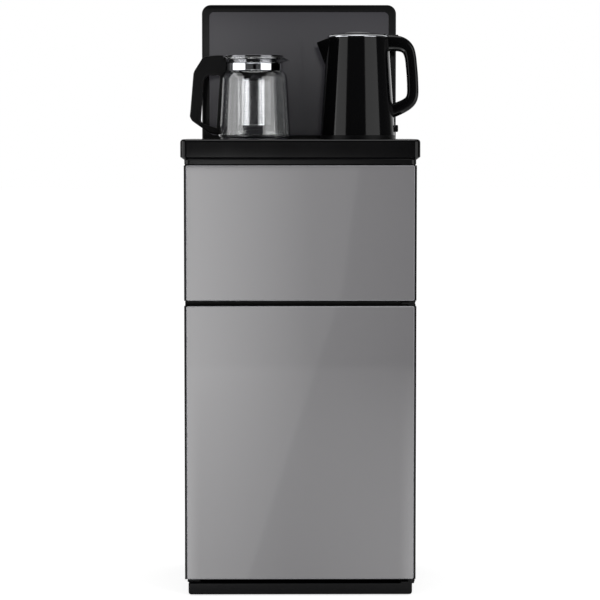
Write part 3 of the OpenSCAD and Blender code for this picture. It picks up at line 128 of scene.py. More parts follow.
def clear_glass():
    """Borosilicate glass, blown and fire-polished: clear, with sharp reflections."""
    made, _, _ = new_material("borosilicate_glass", [
        ("Base Color", rgb("FCFDFD")), ("Roughness", 0.0), ("IOR", 1.52), ("Transmission Weight", 1.0)])
    return made


def circuit_laminate():
    """Glass-fibre laminate under green solder resist, with copper tracks 1.5 mm apart."""
    made, tree, shader = new_material("solder_resist_laminate", [("Roughness", 0.35)])
    place = add(tree, "ShaderNodeTexCoord")
    mapping = add(tree, "ShaderNodeMapping", [(place.outputs["Object"], "Vector")],
                  [("Rotation", (math.pi / 2, 0, 0)), ("Scale", [1 / (6 * MM)] * 3)])
    tracks = add(tree, "ShaderNodeTexBrick", [(mapping.outputs[0], "Vector")],
                 [("Color1", rgb("0F4A2B")), ("Color2", rgb("135635")), ("Mortar", rgb("2C7A50")),
                  ("Mortar Size", 0.06), ("Scale", 4.0)])
    tree.links.new(tracks.outputs["Color"], shader.inputs["Base Color"])
    return made


FINISHES = {
    # Polyester powder coat on sheet steel: satin, with a fine orange peel
    "black_enamel": surface("powder_coat_black", "0C0C0D", 0.42, gloss=0.1, grain=1.6, bump=0.02,
                            swing=0.05),
    # ABS from a polished mould: a deep gloss black with a long, faint waviness
    "gloss_black_abs": surface("abs_gloss_black", "070708", 0.1, gloss=0.22, grain=60, swing=0.01,
                               tint=0.02),
    # ABS from a spark-eroded mould: an even satin grain
    "satin_black_plastic": surface("abs_satin_black", "0C0C0D", 0.38, gloss=0.1, grain=0.7, bump=0.02,
                                   swing=0.06),
    # Float glass with grey paint fired on its back: the colour sits under a clear, flat gloss
    "grey_back_painted_glass": surface("back_painted_glass_grey", "7B7A7C", 0.03, ior=1.52, grain=160,
                                       tint=0.015),
    # Smoked float glass with a dark paint behind
    "dark_back_painted_glass": surface("back_painted_glass_dark", "3C3B40", 0.1, ior=1.52, grain=120,
                                       tint=0.03),
    "clear_borosilicate": clear_glass(),
    # 304 stainless, brushed along its length: streaks a few tenths of a millimetre wide
    "brushed_stainless": surface("stainless_brushed", "B0B0B2", 0.16, metal=1.0, grain=0.9, swing=0.05,
                                 tint=0.06, stretch=(1, 1, 0.04)),
    # Chrome plate over polished brass: a cold mirror
    "polished_chrome": surface("chrome_plate", "D5D7DB", 0.06, metal=1.0, grain=8, swing=0.02),
    # Zinc plate with a blue passivation: dull, with cloudy patches
    "zinc_steel": surface("zinc_plated_steel", "A4A8AD", 0.38, metal=1.0, grain=9, swing=0.1, tint=0.08),
    # Moulded nitrile rubber: almost no gloss
    "black_rubber": surface("nitrile_rubber", "161617", 0.78, grain=0.6, bump=0.02, swing=0.05),
    # Natural nylon: milky white with a soft gloss
    "white_nylon": surface("nylon_natural", "E2DFD3", 0.38, grain=2.5, swing=0.06, tint=0.02),
    # Vacuum-formed polystyrene: white, with a faint pull in the sheet
    "white_liner": surface("polystyrene_white", "D9DBDA", 0.3, grain=14, bump=0.02, swing=0.05),
    # Platinum-cured silicone: milky
    "silicone_hose": surface("silicone_milky", "D6D8D3", 0.42, grain=3, swing=0.05, tint=0.03),
    # Polypropylene, moulded in blue
    "blue_cap_plastic": surface("polypropylene_blue", "27508C", 0.34, grain=1.2, bump=0.01, swing=0.05),
    # Die-cast aluminium, left as cast
    "cast_aluminium": surface("aluminium_cast", "A9ABAC", 0.5, metal=1.0, grain=1.4, bump=0.05, swing=0.1),
    "circuit_board": circuit_laminate(),
    # Folded steel with a grey powder coat
    "grey_power_case": surface("powder_coat_grey", "5A5B5E", 0.45, grain=1.2, bump=0.02, swing=0.05),
}
# Finishes of some pieces, apart from their record slot.
# The chamfer round a pane's front is painted paler than its face: a painted highlight where the polished
# edge catches light
PANE_EDGE_HIGHLIGHT = surface("glass_edge_painted_highlight", "A2A2A6", 0.3, ior=1.52, grain=0.8, swing=0.08)
# Satin graphite moulding of the kettle lid's middle
LID_GREY = surface("abs_satin_graphite", "4A4A4C", 0.35, grain=0.6, bump=0.015, swing=0.05)
# 304 stainless from a polished sheet: soft mirror, with no streaks that show
BRIGHT_STEEL = surface("stainless_polished", "68686B", 0.14, metal=1.0, grain=6, swing=0.04)


def dress_nodes():
    """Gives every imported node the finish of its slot."""
    for part in frame["record"]["subparts"]:
        mesh = frame["nodes"][part["node"]].data
        mesh.materials.clear()
        mesh.materials.append(FINISHES[part["material_slot"]])


# Shapes

def corner(r, z, radius, start, end, count=5):
    """Points of a round corner about (r, z), from one angle to another in degrees."""
    angles = [math.radians(start + (end - start) * i / count) for i in range(count + 1)]
    return [(r + radius * math.cos(a), z + radius * math.sin(a)) for a in angles]


def lathe(points, center, closed=False, steps=128):
    """A solid of revolution about the upright line through center, from its section in millimetres."""
    bm = bmesh.new()
    verts = [bm.verts.new(center + X * r * MM + Z * z * MM) for r, z in points]
    edges = [bm.edges.new(pair) for pair in zip(verts, verts[1:])]
    if closed:
        edges.append(bm.edges.new((verts[-1], verts[0])))
    bmesh.ops.spin(bm, geom=verts + edges, cent=center, axis=Z, angle=TAU, steps=steps, use_merge=True)
    bmesh.ops.remove_doubles(bm, verts=bm.verts, dist=TINY)
    bmesh.ops.recalc_face_normals(bm, faces=bm.faces)
    return bm


def block(low, high):
    """A box between two corners."""
    bm = bmesh.new()
    middle, size = (low + high) / 2, high - low
    bmesh.ops.create_cube(bm, size=1, matrix=Matrix.Translation(middle) @ Matrix.Diagonal((*size, 1)))
    return bm


def rod(start, end, radius, steps=48):
    """A cylinder from start to end."""
    bm = bmesh.new()
    along = end - start
    turn = along.to_track_quat("Z", "Y").to_matrix().to_4x4()
    bmesh.ops.create_cone(bm, cap_ends=True, segments=steps, radius1=radius, radius2=radius,
                          depth=along.length, matrix=Matrix.Translation((start + end) / 2) @ turn)
    return bm


def along(bm, axis):
    """The edges that run along an axis, 0 to 2."""
    return [e for e in bm.edges if abs((e.verts[1].co - e.verts[0].co).normalized()[axis]) > 0.999]


def rim_of(bm, axis, level):
    """The edges that lie in the plane where the axis's coordinate is level, round its flat face."""
    return [e for e in bm.edges if all(abs(v.co[axis] - level) < TINY for v in e.verts)]


def new_verts(made):
    """The vertices that an extrusion made."""
    return [v for v in made["geom"] if isinstance(v, bmesh.types.BMVert)]


def round_off(bm, edges, width, segments=4):
    """Rounds edges with a width in millimetres."""
    bmesh.ops.bevel(bm, geom=edges, offset=width * MM, offset_type="OFFSET", segments=segments, profile=0.5,
                    affect="EDGES", material=-1, clamp_overlap=True)


def soft_block(low, high, width, segments=4):
    """A box with all of its edges rounded."""
    bm = block(low, high)
    round_off(bm, list(bm.edges), width, segments)
    return bm


def outline_slab(outer, place, half, width, hole=(), segments=5):
    """A slab of an outline in X and Z, half to each side of place in Y, with rounded edges."""
    bm = bmesh.new()
    edges = []
    for points in filter(None, (outer, hole)):
        verts = [bm.verts.new(place + X * x * MM + Z * z * MM - Y * half * MM) for x, z in points]
        edges += [bm.edges.new(pair) for pair in zip(verts, verts[1:] + verts[:1])]
    bmesh.ops.triangle_fill(bm, use_beauty=True, use_dissolve=True, edges=edges)
    made = bmesh.ops.extrude_face_region(bm, geom=list(bm.faces))
    bmesh.ops.translate(bm, vec=Y * 2 * half * MM, verts=new_verts(made))
    bmesh.ops.recalc_face_normals(bm, faces=bm.faces)
    borders = [e for e in bm.edges if len(e.link_faces) == 2 and e.calc_face_angle() > math.radians(80)
               and abs((e.verts[1].co - e.verts[0].co).normalized().y) < 0.1]
    round_off(bm, borders, width, segments)
    return bm


def as_object(bm, name):
    """A shape as an object in the scene. The shape is used up."""
    mesh = bpy.data.meshes.new(name)
    bm.to_mesh(mesh)
    bm.free()
    made = bpy.data.objects.new(name, mesh)
    bpy.context.scene.collection.objects.link(made)
    return made


def combine(bm, other, operation="DIFFERENCE"):
    """The first shape with the second cut away from it or joined to it. Both are used up."""
    objects = [as_object(shape, "shape") for shape in (bm, other)]
    cut = objects[0].modifiers.new("cut", "BOOLEAN")
    cut.operation = operation
    cut.object = objects[1]
    cut.solver = "EXACT"
    result = bmesh.new()
    result.from_object(objects[0], bpy.context.evaluated_depsgraph_get())
    for item in objects:
        bpy.data.objects.remove(item)
    return result


def piece(bm, name, body, slot, stands_for=(), finish=None, sharp=SHARP):
    """Ends a shape: its smooth and crisp edges, its finish, and the body it rides on. Weighted normals keep
    the flat faces beside a rounded edge flat."""
    bmesh.ops.remove_doubles(bm, verts=bm.verts, dist=TINY)
    for face in bm.faces:
        face.smooth = True
    for edge in bm.edges:
        edge.smooth = len(edge.link_faces) == 2 and edge.calc_face_angle() < sharp
    made = as_object(bm, name)
    made.data.materials.append(finish or FINISHES[slot])
    normals = made.modifiers.new("normals", "WEIGHTED_NORMAL")
    normals.keep_sharp = True
    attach(made, body)
    if stands_for:
        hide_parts(*stands_for)
    return made


def smooth_copy(node, body, slot, edge=0.3):
    """A node's own shape with its round sides smoothed and its edges broken by a small radius."""
    bm = bmesh.new()
    bm.from_mesh(frame["nodes"][node].data)
    bmesh.ops.remove_doubles(bm, verts=bm.verts, dist=2e-6)
    bmesh.ops.dissolve_limit(bm, angle_limit=math.radians(0.4), verts=bm.verts, edges=bm.edges)
    made = piece(bm, node + "_finished", body, slot, [node])
    if edge:
        broken = made.modifiers.new("edge", "BEVEL")
        broken.width = edge * MM
        broken.segments = 2
        broken.limit_method = "ANGLE"
        broken.angle_limit = math.radians(40)
        made.modifiers.move(1, 0)


def axis_point(node):
    """The point at the foot of a node's upright axis."""
    low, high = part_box(node)
    return Vector(((low.x + high.x) / 2, (low.y + high.y) / 2, low.z))


# Cabinet

SEAL_W, SEAL_H = 4.5, 2.5       # the bead of sealant along the floor of the bottle compartment
SEAL_GAP = 0.05
SHEET = 1                       # thickness of the panels' steel


def make_bay_seal():
    """A bead that closes the joint between the inset strip and the panels, seen with the lower door open."""
    side_low, side_high = (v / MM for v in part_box("side_panel_right"))
    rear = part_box("rear_panel")[0].y / MM
    flange = side_low.x - SEAL_GAP              # where the side panels' rear flanges end
    side = side_high.x - SHEET - SEAL_GAP
    front, back = side_low.y + SHEET + SEAL_GAP, rear - SHEET - SEAL_GAP
    right = [(side - SEAL_W, back - SEAL_W), (side - SEAL_W, front), (side, front), (side, back),
             (flange, back), (flange, rear - SEAL_GAP)]
    bm = bmesh.new()
    floor = bm.faces.new([bm.verts.new(Vector((x, y, side_low.z + SEAL_GAP)) * MM)
                          for x, y in right + [(-x, y) for x, y in reversed(right)]])
    made = bmesh.ops.extrude_face_region(bm, geom=[floor])
    bmesh.ops.translate(bm, vec=Z * SEAL_H * MM, verts=new_verts(made))
    bmesh.ops.recalc_face_normals(bm, faces=bm.faces)
    piece(bm, "bay_seal", "root", "black_rubber")


# Doors

PANE_CORNER, PANE_CHAMFER = 3.4, 1.4


def make_door_glass(door):
    """A pane with ground corners and a polished chamfer round its front, painted paler as its highlight."""
    low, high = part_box(door + "_door_glass")
    bm = block(low, high)
    round_off(bm, along(bm, 1), PANE_CORNER, 6)
    round_off(bm, rim_of(bm, 1, low.y), PANE_CHAMFER, 1)
    for face in bm.faces:
        # The chamfer's faces take the second finish, a paler colour painted on as the edge's highlight
        face.material_index = int(-0.95 < face.normal.y < -0.2)
    pane = piece(bm, door + "_door_pane", door + "_door", "grey_back_painted_glass", [door + "_door_glass"],
                 sharp=math.radians(15))
    pane.data.materials.append(PANE_EDGE_HIGHLIGHT)


# Deck and tower

deck_low, deck_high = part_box("deck")
deck_top = deck_high.z
tower_low, tower_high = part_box("tower_shell")
kettle_foot = axis_point("kettle_base")
teapot_foot = axis_point("teapot_band")
teapot_foot.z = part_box("teapot_glass")[0].z

DECK_CORNER, DECK_EDGE = 12, 6          # round upright corners, and the round edge of the top
DECK_SLOPE_W, DECK_SLOPE_H = 7, 5       # the sloped edge below
DECK_WALL, DECK_SKIN = 11, 4            # walls of the moulding, and the thickness of its top
DECK_INNER_CORNER = 7
DOCK_R, DOCK_DEPTH = 71.7, 0.3          # the kettle's recess
PLATE_GAP = 0.4                         # round the warming plate
HEATER_HOLE_R, HEATER_HOLE_H = 57, 50
CUT = 12                                # how far a cut runs on, so that it opens the face


def make_deck():
    """The deck: round corners, a round top edge, a sloped lower edge, and its two recesses."""
    bm = block(deck_low + Z * DECK_SLOPE_H * MM, deck_high)
    round_off(bm, along(bm, 2), DECK_CORNER, 10)
    round_off(bm, rim_of(bm, 2, deck_top), DECK_EDGE, 6)
    below = [f for f in bm.faces if f.normal.z < -0.99]
    bmesh.ops.inset_region(bm, faces=below, thickness=DECK_SLOPE_W * MM, depth=DECK_SLOPE_H * MM,
                           use_boundary=True)
    walls = (X + Y) * DECK_WALL * MM
    inner = block(deck_low - Z * MM + walls, Vector((*deck_high.xy, deck_top - DECK_SKIN * MM)) - walls)
    round_off(inner, along(inner, 2), DECK_INNER_CORNER, 4)
    bm = combine(bm, inner)
    plate_low, plate_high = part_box("warming_plate")
    plate_r = (plate_high.x - plate_low.x) / 2 + PLATE_GAP * MM
    plate = Vector((*teapot_foot.xy, plate_low.z - GAP * MM))
    heater = Vector((*teapot_foot.xy, deck_low.z))
    for place, height, r, steps in ((kettle_foot - Z * DOCK_DEPTH * MM, CUT, DOCK_R * MM, 128),
                                    (plate, CUT, plate_r, 128),
                                    (heater, HEATER_HOLE_H, HEATER_HOLE_R * MM, 96)):
        bm = combine(bm, rod(place, place + Z * height * MM, r, steps))
    piece(bm, "deck_moulding", "root", "gloss_black_abs", ["deck"])


TOWER_CORNER, TOWER_EDGE = 17, 2.6      # round upper corners, and the soft edge round the front
TOWER_WALL, TOWER_FACE = 3, 6           # thickness of the moulding's walls and of its front
TOWER_GLASS_CORNER, TOWER_GLASS_EDGE = 9, 0.5


def make_tower():
    """The tower's shell: round top corners, a soft front edge, and the seat for its glass."""
    bm = block(tower_low, tower_high)
    round_off(bm, [e for e in along(bm, 1) if e.verts[0].co.z > tower_high.z - 1 * MM], TOWER_CORNER, 12)
    front = [e for e in rim_of(bm, 1, tower_low.y) if max(v.co.z for v in e.verts) > tower_low.z + 1 * MM]
    round_off(bm, front, TOWER_EDGE, 4)
    inside = block(tower_low + Vector((TOWER_WALL, TOWER_FACE, TOWER_WALL)) * MM,
                   tower_high + Vector((-TOWER_WALL, CUT, -TOWER_WALL)) * MM)
    upper = [e for e in along(inside, 1) if e.verts[0].co.z > tower_high.z - 10 * MM]
    round_off(inside, upper, TOWER_CORNER - TOWER_WALL, 8)
    bm = combine(bm, inside)
    glass_low, glass_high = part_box("tower_glass")
    seat_low = Vector((glass_low.x, tower_low.y - CUT * MM, glass_low.z))
    seat = block(seat_low - (X + Z) * GAP * MM, glass_high + (X + Y + Z) * GAP * MM)
    round_off(seat, along(seat, 1), TOWER_GLASS_CORNER + GAP, 8)
    piece(combine(bm, seat), "tower_moulding", "root", "gloss_black_abs", ["tower_shell"])
    pane = block(glass_low, glass_high)
    round_off(pane, along(pane, 1), TOWER_GLASS_CORNER, 8)
    round_off(pane, rim_of(pane, 1, glass_low.y), TOWER_GLASS_EDGE, 2)
    piece(pane, "tower_pane", "root", "dark_back_painted_glass", ["tower_glass"], sharp=math.radians(15))


def make_warming_plate():
    """A glass disc with a round edge and a fine ring engraved in it."""
    low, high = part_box("warming_plate")
    r, t = (high.x - low.x) / 2 / MM, (high.z - low.z) / MM
    edge, ring, groove = 0.8, 52, 0.15
    section = [(0, 0), (r, 0), (r, t - edge)] + corner(r - edge, t - edge, edge, 0, 90, 4)
    section += [(ring, t), (ring - 0.3, t - groove), (ring - 0.8, t - groove), (ring - 1.1, t), (0, t)]
    bm = lathe(section, Vector((*teapot_foot.xy, low.z)))
    piece(bm, "warming_disc", "root", "dark_back_painted_glass", ["warming_plate"])


# Kettle, in heights above its foot

KETTLE_H = 187.2
FOOT_R = (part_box("kettle_base")[1].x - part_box("kettle_base")[0].x) / 2 / MM
TOP_R = 56.5
SHELL_Z, WALL = 8.2, 2.5                # where the moulded wall starts, and its thickness
SPOUT_REACH, SPOUT_DROP = 18.8, 8.6     # how far the spout's tip is out and below the kettle's top
SPOUT_H, SPOUT_ANGLE = 52, 22           # the spout's height, and half the angle that it takes of the wall
BEAK_SPOTS = 1.1, 1.0                   # roundness of the spout's tip and of its sides
CHANNEL_SPOTS = 0.5, 1.2                # the same for the channel in it
CHANNEL_INSET = 2.2
SWITCH_SLOT_Z, SWITCH_SLOT = 7, Vector((20, 14, 22))
SHELL_EDGE = 0.8                        # the bevel round the top of the wall
LID_R, LID_Z, LID_TOP = TOP_R - 7.5, 187.8, KETTLE_H + 5.3
LUG_HALF, LUG_R, PIN_HOLE_R = 12, 2.6, 1.55     # the lid's hinge lug
LUG_GAP = 0.5
DISC_R = 24                             # the raised disc in the lid's middle
BUTTON_GAP = Vector((0.4, 0.4, 3.5))    # round the lid's release button in the handle


def kettle_r(h):
    """The kettle's outer radius at a height."""
    return FOOT_R + (TOP_R - FOOT_R) * h / KETTLE_H


def kettle_plug(grow, low=-1, high=KETTLE_H + 20):
    """The kettle's outer cone as a solid, grown by a gap."""
    return lathe([(0, low), (kettle_r(low) + grow, low), (kettle_r(high) + grow, high), (0, high)],
                 kettle_foot, steps=96)


def beak_solid(tip, side, channel=False):
    """The spout's wedge: a tip, two upright edges on the kettle's side and a point below. The channel is the
    same wedge drawn in, with its top left open."""
    bm = bmesh.new()
    inset = CHANNEL_INSET if channel else 0
    out = TOP_R + SPOUT_REACH - tip - 1.3 * inset
    if channel:
        spots = [(-out, 0, KETTLE_H - SPOUT_DROP - tip + 0.5, tip), (-out, 0, KETTLE_H + CUT, tip)]
        heights = KETTLE_H - 14, KETTLE_H + CUT
    else:
        low = KETTLE_H - SPOUT_H
        spots = [(-out, 0, KETTLE_H - SPOUT_DROP - tip, tip), (-(kettle_r(low) - 1.4), 0, low, 0.6)]
        heights = KETTLE_H - 18, KETTLE_H - side
    turn = math.radians(SPOUT_ANGLE - inset)
    r = TOP_R - side - inset
    spots += [(-r * math.cos(turn), way * r * math.sin(turn), z, side) for way in (-1, 1) for z in heights]
    for x, y, z, ball in spots:
        place = kettle_foot + Vector((x, y, z)) * MM
        bmesh.ops.create_icosphere(bm, subdivisions=2, radius=ball * MM, matrix=Matrix.Translation(place))
    bmesh.ops.convex_hull(bm, input=bm.verts)
    bmesh.ops.delete(bm, geom=[v for v in bm.verts if not v.link_faces], context="VERTS")
    bmesh.ops.recalc_face_normals(bm, faces=bm.faces)
    return bm


def make_kettle_shell():
    """The kettle's moulded wall and its beak."""
    top, edge = KETTLE_H, SHELL_EDGE
    outer = [(kettle_r(SHELL_Z), SHELL_Z), (kettle_r(top - edge), top - edge), (kettle_r(top) - edge, top),
             (kettle_r(top) - WALL, top), (kettle_r(SHELL_Z) - WALL, SHELL_Z)]
    bm = combine(lathe(outer, kettle_foot, closed=True), beak_solid(*CHANNEL_SPOTS, channel=True))
    slot = kettle_foot + Vector((kettle_r(SWITCH_SLOT_Z) - 12, -SWITCH_SLOT.y / 2, SWITCH_SLOT_Z)) * MM
    bm = combine(bm, block(slot, slot + SWITCH_SLOT * MM))
    piece(bm, "kettle_wall", "kettle", "gloss_black_abs", ["kettle_shell"])
    beak = combine(beak_solid(*BEAK_SPOTS), beak_solid(*CHANNEL_SPOTS, channel=True))
    beak = combine(beak, kettle_plug(-WALL))
    piece(beak, "kettle_beak", "kettle", "gloss_black_abs", sharp=math.radians(20))


def make_kettle_rim():
    """The chrome ring round the lid, and the gap where the lid's lug turns."""
    low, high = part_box("kettle_rim")
    center = Vector((*kettle_foot.xy, low.z))
    r, h = TOP_R, (high.z - low.z) / MM
    dome = [math.radians(a) for a in range(0, 76, 15)]
    section = [(r - 6.7, 0), (r - 0.2, 0)]
    section += [(r - 6.2 + 6 * math.cos(a), 0.5 + 3.1 * math.sin(a)) for a in dome]
    section += [(r - 5.5, 3.5), (r - 6.7, 2.6)]
    bm = lathe(section, center, closed=True)
    half = LUG_HALF + LUG_GAP
    lug = center + Vector((r - 12.5, -half, -1)) * MM
    bm = combine(bm, block(lug, lug + Vector((30, 2 * half, h + 3)) * MM))
    piece(bm, "kettle_collar", "kettle", "polished_chrome", ["kettle_rim"])


def make_kettle_lid():
    """The lid: a black dish with a groove and a raised grey disc, and its hinge lug."""
    top = LID_TOP
    dish = lathe([(0, LID_Z), (LID_R, LID_Z), (LID_R, top - 0.6)] + corner(LID_R - 1, top - 0.6, 1, 0, 90, 3)
                 + [(27.6, top + 1.6), (27, top + 1.1), (26.6, top + 0.5), (0, top + 0.5)], kettle_foot)
    pin_low, pin_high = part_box("kettle_lid_pin")
    pin = (pin_low + pin_high) / 2
    lug = block(Vector((kettle_foot.x + (LID_R - 8) * MM, pin.y - LUG_HALF * MM, pin.z - LUG_R * MM)),
                Vector((pin.x, pin.y + LUG_HALF * MM, pin.z + LUG_R * MM)))
    lug = combine(lug, rod(pin - Y * LUG_HALF * MM, pin + Y * LUG_HALF * MM, LUG_R * MM, 32), "UNION")
    dish = combine(dish, lug, "UNION")
    past = LUG_HALF + 2
    dish = combine(dish, rod(pin - Y * past * MM, pin + Y * past * MM, PIN_HOLE_R * MM, 32))
    piece(dish, "kettle_lid_dish", "kettle_lid_body", "satin_black_plastic", ["kettle_lid"])
    dome = [((DISC_R - 0.6) * math.cos(math.radians(a)), top + 1.9 + 2.9 * math.sin(math.radians(a)))
            for a in range(0, 90, 9)]
    disc = lathe([(0, top + 0.6), (DISC_R, top + 0.6), (DISC_R, top + 1.4)] + dome + [(0, top + 4.8)],
                 kettle_foot)
    piece(disc, "kettle_lid_disc", "kettle_lid_body", "satin_black_plastic", finish=LID_GREY)


# The kettle handle's middle line: how far out, how high, and half its thickness
GRIP_LINE = [(50, 176.5, 14.5), (60, 176.7, 14.5), (67, 176.6, 14.4), (77, 175.4, 14), (86, 171.5, 12.9),
             (92.5, 165, 11.6), (96, 156, 10.7), (97.8, 146, 10.4), (99.2, 132, 10.4), (100.6, 116, 10.4),
             (101.3, 100, 10.4), (101.5, 88, 10.5), (100.4, 78.5, 10.7), (96.8, 71, 11), (90, 64.8, 11.4),
             (80, 59.3, 11.9), (68, 54.3, 12.4), (56, 50, 12.8)]
GRIP_HALF, GRIP_ROUND = 13, 0.55        # half its width, and the share of its section that is round


def smooth_line(points, between=4):
    """A line through points, with more points between each two along a Catmull-Rom curve."""
    line = []
    ends = [points[0]] + points + [points[-1]]
    for a, b, c, d in zip(ends, ends[1:], ends[2:], ends[3:]):
        for i in range(between):
            t = i / between
            line.append(tuple(0.5 * (2 * q + (r - p) * t + (2 * p - 5 * q + 4 * r - s) * t ** 2
                                     + (3 * q - p - 3 * r + s) * t ** 3) for p, q, r, s in zip(a, b, c, d)))
    return line + [points[-1]]


def swept_grip(place, points, half_width, round_share):
    """A bar swept along a line in X and Z. Each point gives where it is and half its thickness there."""
    line = [(place + X * x * MM + Z * z * MM, t * MM) for x, z, t in smooth_line(points)]
    frames = []
    for i, (spot, half) in enumerate(line):
        ahead = (line[min(i + 1, len(line) - 1)][0] - line[max(i - 1, 0)][0]).normalized()
        out = Y.cross(ahead)
        turn = Matrix((out, Y, ahead)).transposed().to_4x4()
        frames.append(Matrix.Translation(spot) @ turn @ Matrix.Diagonal((half, half_width * MM, 1, 1)))
    bm = bmesh.new()
    r = round_share
    corners = ((1 - r, 1 - r, 0), (r - 1, 1 - r, 90), (r - 1, r - 1, 180), (1 - r, r - 1, 270))
    ring = [spot for x, y, a in corners for spot in corner(x, y, r, a, a + 90, 6)]
    verts = [bm.verts.new(frames[0] @ Vector((x, y, 0))) for x, y in ring]
    edges = [bm.edges.new(pair) for pair in zip(verts, verts[1:] + verts[:1])]
    bm.faces.new(verts)
    for before, after in zip(frames, frames[1:]):
        made = bmesh.ops.extrude_edge_only(bm, edges=edges)
        edges = [e for e in made["geom"] if isinstance(e, bmesh.types.BMEdge) and len(e.link_faces) == 1]
        bmesh.ops.transform(bm, matrix=after @ before.inverted(), verts=new_verts(made))
    bmesh.ops.holes_fill(bm, edges=edges, sides=0)
    bmesh.ops.recalc_face_normals(bm, faces=bm.faces)
    return bm


def make_kettle_handle():
    """The handle, a bar that runs out of the kettle's side and back into it, with the lid's button."""
    bm = swept_grip(kettle_foot, GRIP_LINE, GRIP_HALF, GRIP_ROUND)
    bm = combine(bm, kettle_plug(GAP, high=KETTLE_H + GAP))
    over = kettle_foot + Z * KETTLE_H * MM
    bm = combine(bm, rod(over, over + Z * 20 * MM, (TOP_R + 0.4) * MM, 96))
    low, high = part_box("kettle_lid_button")
    well = block(low - BUTTON_GAP * MM, high + BUTTON_GAP * MM)
    round_off(well, along(well, 2), 2.6, 4)
    bm = combine(bm, well)
    piece(bm, "kettle_grip", "kettle", "gloss_black_abs", ["kettle_handle"])
    button = block(low, high)
    round_off(button, along(button, 2), 2.2, 5)
    round_off(button, rim_of(button, 2, high.z), 0.8, 3)
    piece(button, "lid_release", "kettle_button_body", "satin_black_plastic", ["kettle_lid_button"])


def make_kettle_switch():
    """The lever below the handle, with its thumb pad."""
    axis = kettle_foot + Vector((FOOT_R - 8.7, 0, 19.2)) * MM
    pad = soft_block(axis + Vector((9, -6, -5.2)) * MM, axis + Vector((14.1, 6, 7.6)) * MM, 1.8, 4)
    neck = soft_block(axis + Vector((-2.5, -6, -3.2)) * MM, axis + Vector((11, 6, 3.2)) * MM, 0.8, 2)
    shaft = rod(axis - Y * 10 * MM, axis + Y * 10 * MM, 2 * MM, 32)
    bm = combine(combine(pad, neck, "UNION"), shaft, "UNION")
    piece(bm, "kettle_lever", "kettle_switch_body", "satin_black_plastic", ["kettle_switch"])


# Teapot, in heights above its foot

SIDE_H, SHOULDER_H = 105, 18.6          # the straight side, and the shoulder above it
POT_FOOT_R, SHOULDER_R, NECK_R = 66.3, 60.5, 51
FOOT_ROUND = 7
LIP_Z, LIP_H, LIP_FLARE = 138, 9, 5.6   # where the lip starts, its height, and how far it turns out
GLASS, BEAD = 2, 1.4                    # thickness of the glass, and the round bead on the lip
POT_H = LIP_Z + LIP_H + 1.5
BEAK_REACH, BEAK_DROP, BEAK_ANGLE = 8.5, 11, 24
HANDLE_HALF, HANDLE_EDGE = 10, 3.6
HANDLE_GAP = 0.15                       # between the handle and the glass
TUBE_R, TUBE_TOP, TUBE_FOOT = 31, 108.7, 3      # the infuser's tube, and the part of its foot without holes
STEEL, SIEVE_STEEL = 0.8, 0.5           # thickness of the infuser's bowl and cup, and of its sieve
SIEVE_COLUMNS, SIEVE_ROWS, SIEVE_BAR = 66, 29, 0.62
HOLE_AREA = 2 * MM ** 2                 # the sieve's holes are larger than this and its bars' faces smaller


def pot_side(inset):
    """The teapot's outer outline, or its inner one where inset is the glass's thickness."""
    points = corner(POT_FOOT_R - FOOT_ROUND, FOOT_ROUND, FOOT_ROUND - inset, -85, 0, 8)
    shoulder = [math.radians(a) for a in range(0, 91, 9)]
    points += [(NECK_R + (SHOULDER_R - NECK_R) * math.cos(a) - inset,
                SIDE_H + (SHOULDER_H - inset / 2) * math.sin(a)) for a in shoulder]
    lip = NECK_R + LIP_FLARE - inset
    return points + [(NECK_R - inset, LIP_Z - 2), (NECK_R + 0.6 - inset, LIP_Z + 0.8),
                     (lip - 0.4, LIP_Z + LIP_H - 2.4), (lip, LIP_Z + LIP_H - 1)]


def pull_beak(bm):
    """Draws the lip out and down into a beak on the +X side."""
    for vert in bm.verts:
        at = (vert.co - teapot_foot) / MM
        rise = min(1.0, max(0.0, (at.z - LIP_Z + 1) / (LIP_H + 1)))
        swing = math.degrees(math.atan2(at.y, at.x))
        share = max(0.0, 1 - abs(swing) / BEAK_ANGLE) * rise * rise * (3 - 2 * rise)
        if share > 0 and math.hypot(at.x, at.y) > NECK_R - 4:
            out = Vector((at.x, at.y, 0)).normalized()
            drop = BEAK_DROP * min(1.0, max(0, at.z - LIP_Z - 4) / 10)
            vert.co += (out * BEAK_REACH - Z * drop) * share * MM


def make_teapot_glass():
    """The blown pot: thick foot, straight side, drawn-in shoulder, neck and flared lip with a beak."""
    outer, inner = pot_side(0), pot_side(GLASS)
    section = [(0, 0), (50, 0), (56, 0.6)] + outer
    section += corner(NECK_R + LIP_FLARE - GLASS / 2, POT_H - BEAD, BEAD, -30, 210, 12)
    section += inner[::-1] + [(54, GLASS + 1), (0, GLASS + 1)]
    bm = lathe(section, teapot_foot, steps=144)
    pull_beak(bm)
    piece(bm, "teapot_pot", "teapot", "clear_borosilicate", ["teapot_glass"], sharp=math.radians(60))


def make_teapot_band():
    """The chrome band round the neck, with rolled edges."""
    low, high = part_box("teapot_band")
    center = Vector((*teapot_foot.xy, low.z))
    r, h = NECK_R + 0.2, (high.z - low.z) / MM
    section = [(r, 0.3), (r + 0.3, 0)] + corner(r + 0.2, 0.6, 0.6, -90, 0, 4)
    section += [(r + 0.8, h - 1.6)] + corner(r + 0.5, h - 0.6, 0.6, -90, 90, 5)
    section += [(r + 0.4, h), (r, h - 0.3)]
    piece(lathe(section, center, closed=True), "teapot_collar", "teapot", "polished_chrome", ["teapot_band"])


